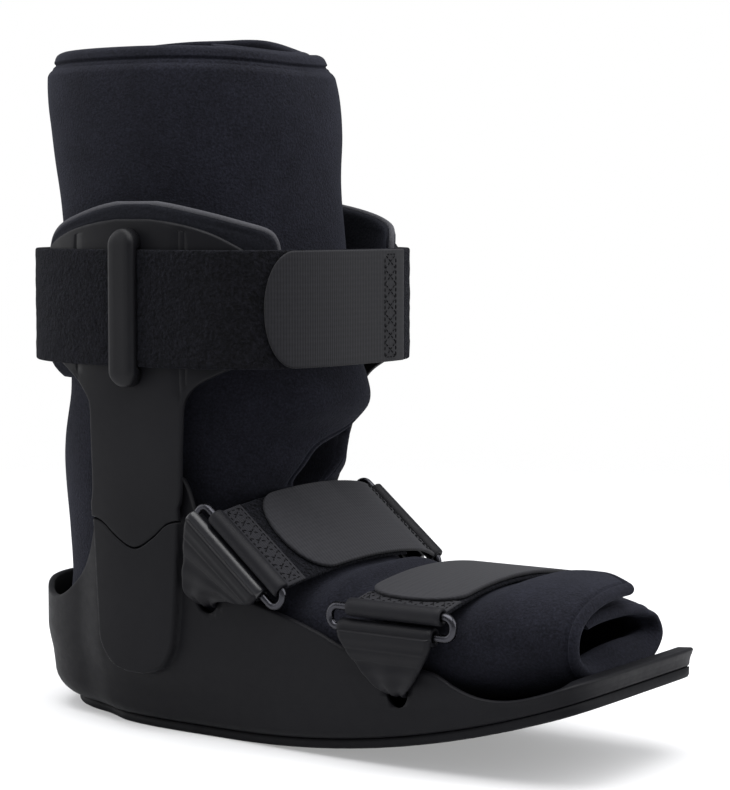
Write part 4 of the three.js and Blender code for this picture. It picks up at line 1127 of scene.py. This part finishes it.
# Each pair of rings has a frame: the near ring's middle, the slant of its bars, the shell's slot,
# how high the strap rises, where its tab ends in degrees, and the sizes of web and ring.
frames = {
    "ankle": {
        "x": -5.2, "z": 87, "y": 60.3, "slant": -39.5, "slotX": -26.7, "slotZ": 63.8, "slotY": 55.5,
        "rise": 13.6, "tabEnd": 45, "web": 50.0, "webShift": -5.2, "ringLong": 60.5,
    },
    "forefoot": {
        "x": 72.3, "z": 66, "y": 59, "slant": 0, "slotX": 73.3, "slotZ": 36, "slotY": 56.4,
        "rise": 12, "tabEnd": 32, "web": 47.0, "webShift": -1.6, "ringLong": 64.5,
    },
}  # fmt: skip
for spot in frames.values():
    turn = radians(spot["slant"])
    spot["along"] = np.array([cos(turn), 0, sin(turn)])
    spot["out"] = np.array([-sin(turn), 0, cos(turn)])
    spot["perDegree"] = (spot["y"] + spot["rise"]) / 2 * pi / 180
bore = ring["wire"] / 2 + 0.2


def framePoint(spot, along, y, out):
    along, y, out = np.broadcast_arrays(np.asarray(along, float), y, out)
    start = np.stack([np.full(along.shape, spot["x"]), y, np.full(along.shape, spot["z"])], -1)
    return start + along[..., None] * spot["along"] + out[..., None] * spot["out"]


def ringSurface(spot):
    # a rounded rectangle of wire: nine steps round each corner, straight between them
    halfLong = spot["ringLong"] / 2 - ring["wire"] / 2
    halfWide = ring["barSpacing"] / 2
    corner = np.repeat(np.arange(4), 9)
    turn = np.radians((corner + np.tile(np.arange(9) / 8, 4)) * 90)
    a = np.where(corner % 3 == 0, 1, -1) * (halfLong - ring["corner"]) + ring["corner"] * np.cos(turn)
    b = np.where(corner < 2, 1, -1) * (halfWide - ring["corner"]) + ring["corner"] * np.sin(turn)
    return tubeSurface(framePoint(spot, a, -spot["y"], b), ring["wire"] / 2, 20, True)


def rollSurface(spot, side, out, wall, width, shift):
    # cloth rolled once round a bar: a thick tube whose ends are half rounds
    turn = np.linspace(0, 2 * pi, 41)[:-1]
    edge = wall / 2
    middle = bore + edge
    end = width / 2 - edge
    arc = np.linspace(-pi / 2, pi / 2, 7)
    section = [
        np.stack([-end - edge * np.cos(arc), middle + edge * np.sin(arc)], -1),
        np.stack([np.linspace(-end, end, 24)[1:-1], np.full(22, bore + wall)], -1),
        np.stack([end + edge * np.cos(arc), middle - edge * np.sin(arc)], -1),
        np.stack([np.linspace(end, -end, 6)[1:-1], np.full(4, bore)], -1),
    ]
    section = np.concatenate(section)
    a = section[:, :1] + 0 * turn
    radius = section[:, 1:]
    y = side * spot["y"] + radius * np.cos(turn)
    points = framePoint(spot, a + shift, y, out + radius * np.sin(turn)).reshape(-1, 3)
    uv = np.stack([a, middle * turn + 0 * a], -1).reshape(-1, 2)
    return points, outwards(points, gridQuads(len(section), len(turn), True, True)), uv
def anchorSurface(spot):
    # the folded web below the roll: it narrows to the slot, with folds that run along the bar
    bar = framePoint(spot, spot["webShift"], -spot["y"], -ring["barSpacing"] / 2)
    slot = np.array([spot["slotX"], -spot["slotY"], spot["slotZ"]])
    places = [bar, mix(bar, slot, 0.2), mix(bar, slot, 0.5), slot, slot, slot]
    moves = [(0, -3.0, 0), (0, -3.3, 0), (0, -3.4, 0), (0, -3.4, 3.8), (0, -0.6, 0.6), (0, 2.6, -0.4)]
    stops = np.array(places) + moves
    long = lengthsAlong(stops)
    halves = np.append(spot["web"] * np.array([0.5, 0.47, 0.36, 0.2]), [anchor["tip"] / 2] * 2)
    turned = (0, 0, 0.25, 0.8, 1, 1)
    at = crowdedStops(long[-1], 1.0, 0.3, 0.45)
    keyed = np.column_stack([long, stops, halves, turned])
    centre = np.stack([reading(keyed, at, k) for k in (1, 2, 3)], -1)
    across = unit(mix(spot["along"], np.array([1.0, 0, 0]), reading(keyed, at, 5)[:, None]))
    through = unit(np.cross(np.gradient(centre, axis=0), across))
    through = np.where(through[:, 1:2] > 0, -through, through)
    u = np.linspace(-1, 1, 37)
    a = reading(keyed, at, 4)[:, None] * u
    b = at[:, None] + 0 * a
    def place(a, b, offset):
        return centre[:, None] + across[:, None] * a[..., None] + through[:, None] * offset[..., None]

    def relief(a, b, distance):
        tightening = eased(b, 3, long[3])
        layers = 0.55 * (1 - eased(b, 7.2, 7.6)) + 0.45 * (1 - eased(b, 12.5, 12.9))
        pleats = 0.4 * np.sin(u * 6 + b * 0.1) * tightening**2
        folds = 0.3 * np.sin(b * 0.85 + 0.5 * u) * eased(b, 2, 5) * (1 - eased(b, long[3] - 4, long[3]))
        return (layers + pleats + folds) * eased(distance, 0, 0.7)

    return sheetSurface(a, b, place, 2.6, 1.0, relief)


def strapPoint(spot, angle, along, offset):
    # angle 0 at the near ring, 90 over the foot, 180 at the far ring; a parabola over the foot
    turn = np.radians(angle)
    start = ring["barSpacing"] / 2
    climb = spot["rise"] - start
    slope = 2 * climb * np.cos(turn) / spot["y"]
    long = np.hypot(1, slope)
    y = -spot["y"] * np.cos(turn) - slope / long * offset
    out = start + climb * np.sin(turn) ** 2 + offset / long
    return framePoint(spot, along + footStrap["shift"], y, out)


def footStrapPlace(spot):
    # the strap's own sheet, with a measured along it from the near ring
    return lambda a, b, offset: strapPoint(spot, a / spot["perDegree"], b, offset)


def footStrapSurface(spot):
    edge = footStrap["edge"]
    width = footStrap["width"]
    stops = crowdedStops(footStrap["endDegree"] * spot["perDegree"], edge, 0.3, 1.2)
    a, b = strapGrid(stops, width / 2, width, edge)

    def relief(a, b, distance):
        woven = 1 - eased(a, 13.5, 14.5)
        return pileRelief(21, 0.2)(a, b, distance) * (1 - woven) - 0.25 * woven * eased(distance, 0, 1)

    return sheetSurface(a, b, footStrapPlace(spot), footStrap["thickness"], edge, relief)


def footTabPlace(spot):
    # the tab lies on the strap and comes down to the far bar
    over = footStrap["thickness"] / 2 + sole["seam"] + footStrap["tabThickness"] / 2

    def place(a, b, offset):
        angle = a / spot["perDegree"]
        return strapPoint(spot, angle, b, offset + over * (1 - eased(angle, 128, 168)))

    return place


def footTabSurface(spot):
    start = spot["tabEnd"] * spot["perDegree"]
    end = 180 * spot["perDegree"]
    depth = footStrap["endDepth"]
    width = footStrap["width"]
    stops = np.concatenate([start + closing(depth, 22), np.linspace(start + depth + 1, end - 0.5, 70), [end]])
    a, b = strapGrid(stops, roundedEnd(width / 2 - 0.3, stops - start, depth), width, 0.9)
    return sheetSurface(a, b, footTabPlace(spot), footStrap["tabThickness"], footStrap["tabEdge"])


def strapEndSurface(place):
    # the sewn-down end of the strap, a thin layer that starts under the sleeve
    width = footStrap["width"]
    thickness = footStrap["tapeThickness"]
    stops = footStrap["tapeFrom"] + crowdedStops(footStrap["tapeLong"], 0.5, 0.2, 0.8)
    a, b = strapGrid(stops, width / 2 - 0.2, width, 0.6)
    onTop = lambda p, q, o: place(p, q, o + footStrap["thickness"] / 2)
    return sheetSurface(a, b, onTop, thickness, thickness / 2)


def placeAndNormal(place, a, b):
    # a place on a sheet's face and the way out of it
    low = place(a, b, np.zeros_like(a))
    high = place(a, b, np.ones_like(a))
    return low, high - low


def crossStitches(place, fromA, toA, fromB, toB, cells, lift):
    # two border rows and a lattice of crossing rows between them
    lines = [[(a, fromB), (a, toB)] for a in (fromA, toA)] + [[(fromA, b), (toA, b)] for b in (fromB, toB)]
    step = (toB - fromB) / cells
    for k in range(cells):
        low = fromB + k * step
        lines += [[(fromA, low), (toA, low + step)], [(toA, low), (fromA, low + step)]]
    surfaces = []
    for start, end in lines:
        a, b = np.linspace(start, end, 40).T
        line, normal = placeAndNormal(lambda p, q, o: place(p, q, o + lift), a, b)
        surfaces.append(stitchesAlong(line, normal, thread["length"], thread["gap"], thread["radius"]))
    return joinSurfaces(surfaces)


threads = []
for name, spot in frames.items():
    low = -ring["barSpacing"] / 2
    high = ring["barSpacing"] / 2
    end = 180 * spot["perDegree"]
    half = footStrap["width"] / 2 - footStrap["latticeMargin"]
    makePair(name + "_ring", ringSurface(spot), finishes["steel"])
    makePair(name + "_anchor", anchorSurface(spot), finishes["anchor"])
    roll = rollSurface(spot, -1, low, anchor["wall"], spot["web"], spot["webShift"])
    rollFinish = finishes["roll" if name == "ankle" else "anchor"]
    makePair(name + "_anchor_roll", roll, rollFinish, replaces=False)
    strapName = name + "_strap"
    tabName = name + "_strap_tab"
    makePiece(strapName + "_look", footStrapSurface(spot), finishes["pile"], (strapName,))
    makePiece(tabName + "_look", footTabSurface(spot), finishes["footHookPaintedLit"], (tabName,))
    for side, hand, slot in ((-1, "right", "pile_strap"), (1, "left", "hook_tab")):
        sleeve = rollSurface(spot, side, high, footStrap["sleeve"], footStrap["width"], footStrap["shift"])
        makePiece(f"{name}_strap_sleeve_{hand}", sleeve, finishes["sleeve"])
    strapPlace = footStrapPlace(spot)
    makePiece(name + "_strap_end_tape", strapEndSurface(strapPlace), finishes["tape"])
    strapTop = footStrap["thickness"] / 2 + thread["lift"]
    cells = footStrap["latticeCells"]
    threads.append(crossStitches(strapPlace, *footStrap["lattice"], -half, half, cells, strapTop))
    low, high = (end + at for at in footStrap["tabLattice"])
    tabTop = footStrap["tabThickness"] / 2
    threads.append(crossStitches(footTabPlace(spot), low, high, -half, half, cells, tabTop))

half = calfStrap["width"] / 2 - calfStrap["latticeMargin"]
cells = calfStrap["latticeCells"]
tabTop = calfStrap["tabThickness"] / 2
threads.append(crossStitches(calfTabPlace, *calfStrap["lattice"], -half, half, cells, tabTop))
makePiece("strap_stitches", joinSurfaces(threads), finishes["thread"])
print("straps and rings done")

# Floor, light and camera.

studio = {
    "floorSize": 6.0,
    "floorColour": (0.86, 0.86, 0.87, 1),
    "ambient": 0.4,
    # name, place, target, size, power
    "softboxes": [
        ("topSoftbox", (0.1, -0.2, 1.35), (0.0, 0.0, 0.1), 1.6, 36.0),
        ("leftSoftbox", (-1.25, -0.45, 0.55), (0.0, 0.0, 0.12), 1.3, 9.5),
        ("rightSoftbox", (1.25, 0.55, 0.75), (0.0, 0.0, 0.12), 1.3, 14.0),
    ],
}


def makeFloor():
    mesh = bpy.data.meshes.new("floor")
    half = studio["floorSize"] / 2
    corners = [(-half, -half, 0), (half, -half, 0), (half, half, 0), (-half, half, 0)]
    mesh.from_pydata(corners, [], [(0, 1, 2, 3)])
    material, tree, shader = newMaterial("paleFloor", **{"Roughness": 0.9, "Specular IOR Level": 0.1})
    shader.inputs["Base Color"].default_value = studio["floorColour"]
    where = addNode(tree, "ShaderNodeTexCoord")
    far = addNode(tree, "ShaderNodeVectorMath", operation="LENGTH")
    tree.links.new(where.outputs["Object"], far.inputs[0])
    reach = {"From Min": 0.35, "From Max": 1.3, "To Min": 0.7, "To Max": 0.0}
    fade = addNode(tree, "ShaderNodeMapRange", **reach)
    fade.interpolation_type = "SMOOTHSTEP"
    tree.links.new(far.outputs["Value"], fade.inputs["Value"])
    tree.links.new(fade.outputs[0], shader.inputs["Alpha"])
    mesh.materials.append(material)
    floor = bpy.data.objects.new("floor", mesh)
    bpy.context.scene.collection.objects.link(floor)


def makeSoftbox(name, place, target, size, power):
    data = bpy.data.lights.new(name, "AREA")
    data.shape = "SQUARE"
    data.size = size
    data.energy = power
    light = bpy.data.objects.new(name, data)
    bpy.context.scene.collection.objects.link(light)
    light.location = place
    aim(light, target)


def aim(thing, target):
    # turns -Z of a lamp or camera towards the target, its top upwards
    direction = np.array(target) - np.array(thing.location)
    flat = sqrt(direction[0] ** 2 + direction[1] ** 2)
    thing.rotation_euler = (atan2(flat, -direction[2]), 0, atan2(-direction[0], direction[1]))


def makeWorld():
    world = bpy.data.worlds.new("studio")
    world.use_nodes = True
    tree = world.node_tree
    lit = tree.nodes["Background"]
    lit.inputs["Color"].default_value = (0.93, 0.95, 1, 1)
    lit.inputs["Strength"].default_value = studio["ambient"]
    seen = addNode(tree, "ShaderNodeBackground", Color=(1, 1, 1, 1), Strength=1.0)
    path = addNode(tree, "ShaderNodeLightPath")
    both = addNode(tree, "ShaderNodeMixShader")
    tree.links.new(path.outputs["Is Camera Ray"], both.inputs[0])
    tree.links.new(lit.outputs[0], both.inputs[1])
    tree.links.new(seen.outputs[0], both.inputs[2])
    tree.links.new(both.outputs[0], tree.nodes["World Output"].inputs["Surface"])
    bpy.context.scene.world = world


cameraFit = {
    "place": (0.60705, -0.8515, 0.2302),
    "target": (0.01525, 0.0, 0.1513),
    "focalPixels": 2355.0,
    "frameHeight": 790.0,
    "sensor": 36.0,
}


def makeCamera():
    data = bpy.data.cameras.new("camera")
    data.sensor_fit = "VERTICAL"
    data.sensor_height = cameraFit["sensor"]
    data.lens = cameraFit["focalPixels"] / cameraFit["frameHeight"] * cameraFit["sensor"]
    camera = bpy.data.objects.new("camera", data)
    bpy.context.scene.collection.objects.link(camera)
    camera.location = cameraFit["place"]
    aim(camera, cameraFit["target"])
    bpy.context.scene.camera = camera


makeFloor()
makeWorld()
for softbox in studio["softboxes"]:
    makeSoftbox(*softbox)
makeCamera()
bpy.context.scene.view_settings.view_transform = "Standard"
print("studio ready")
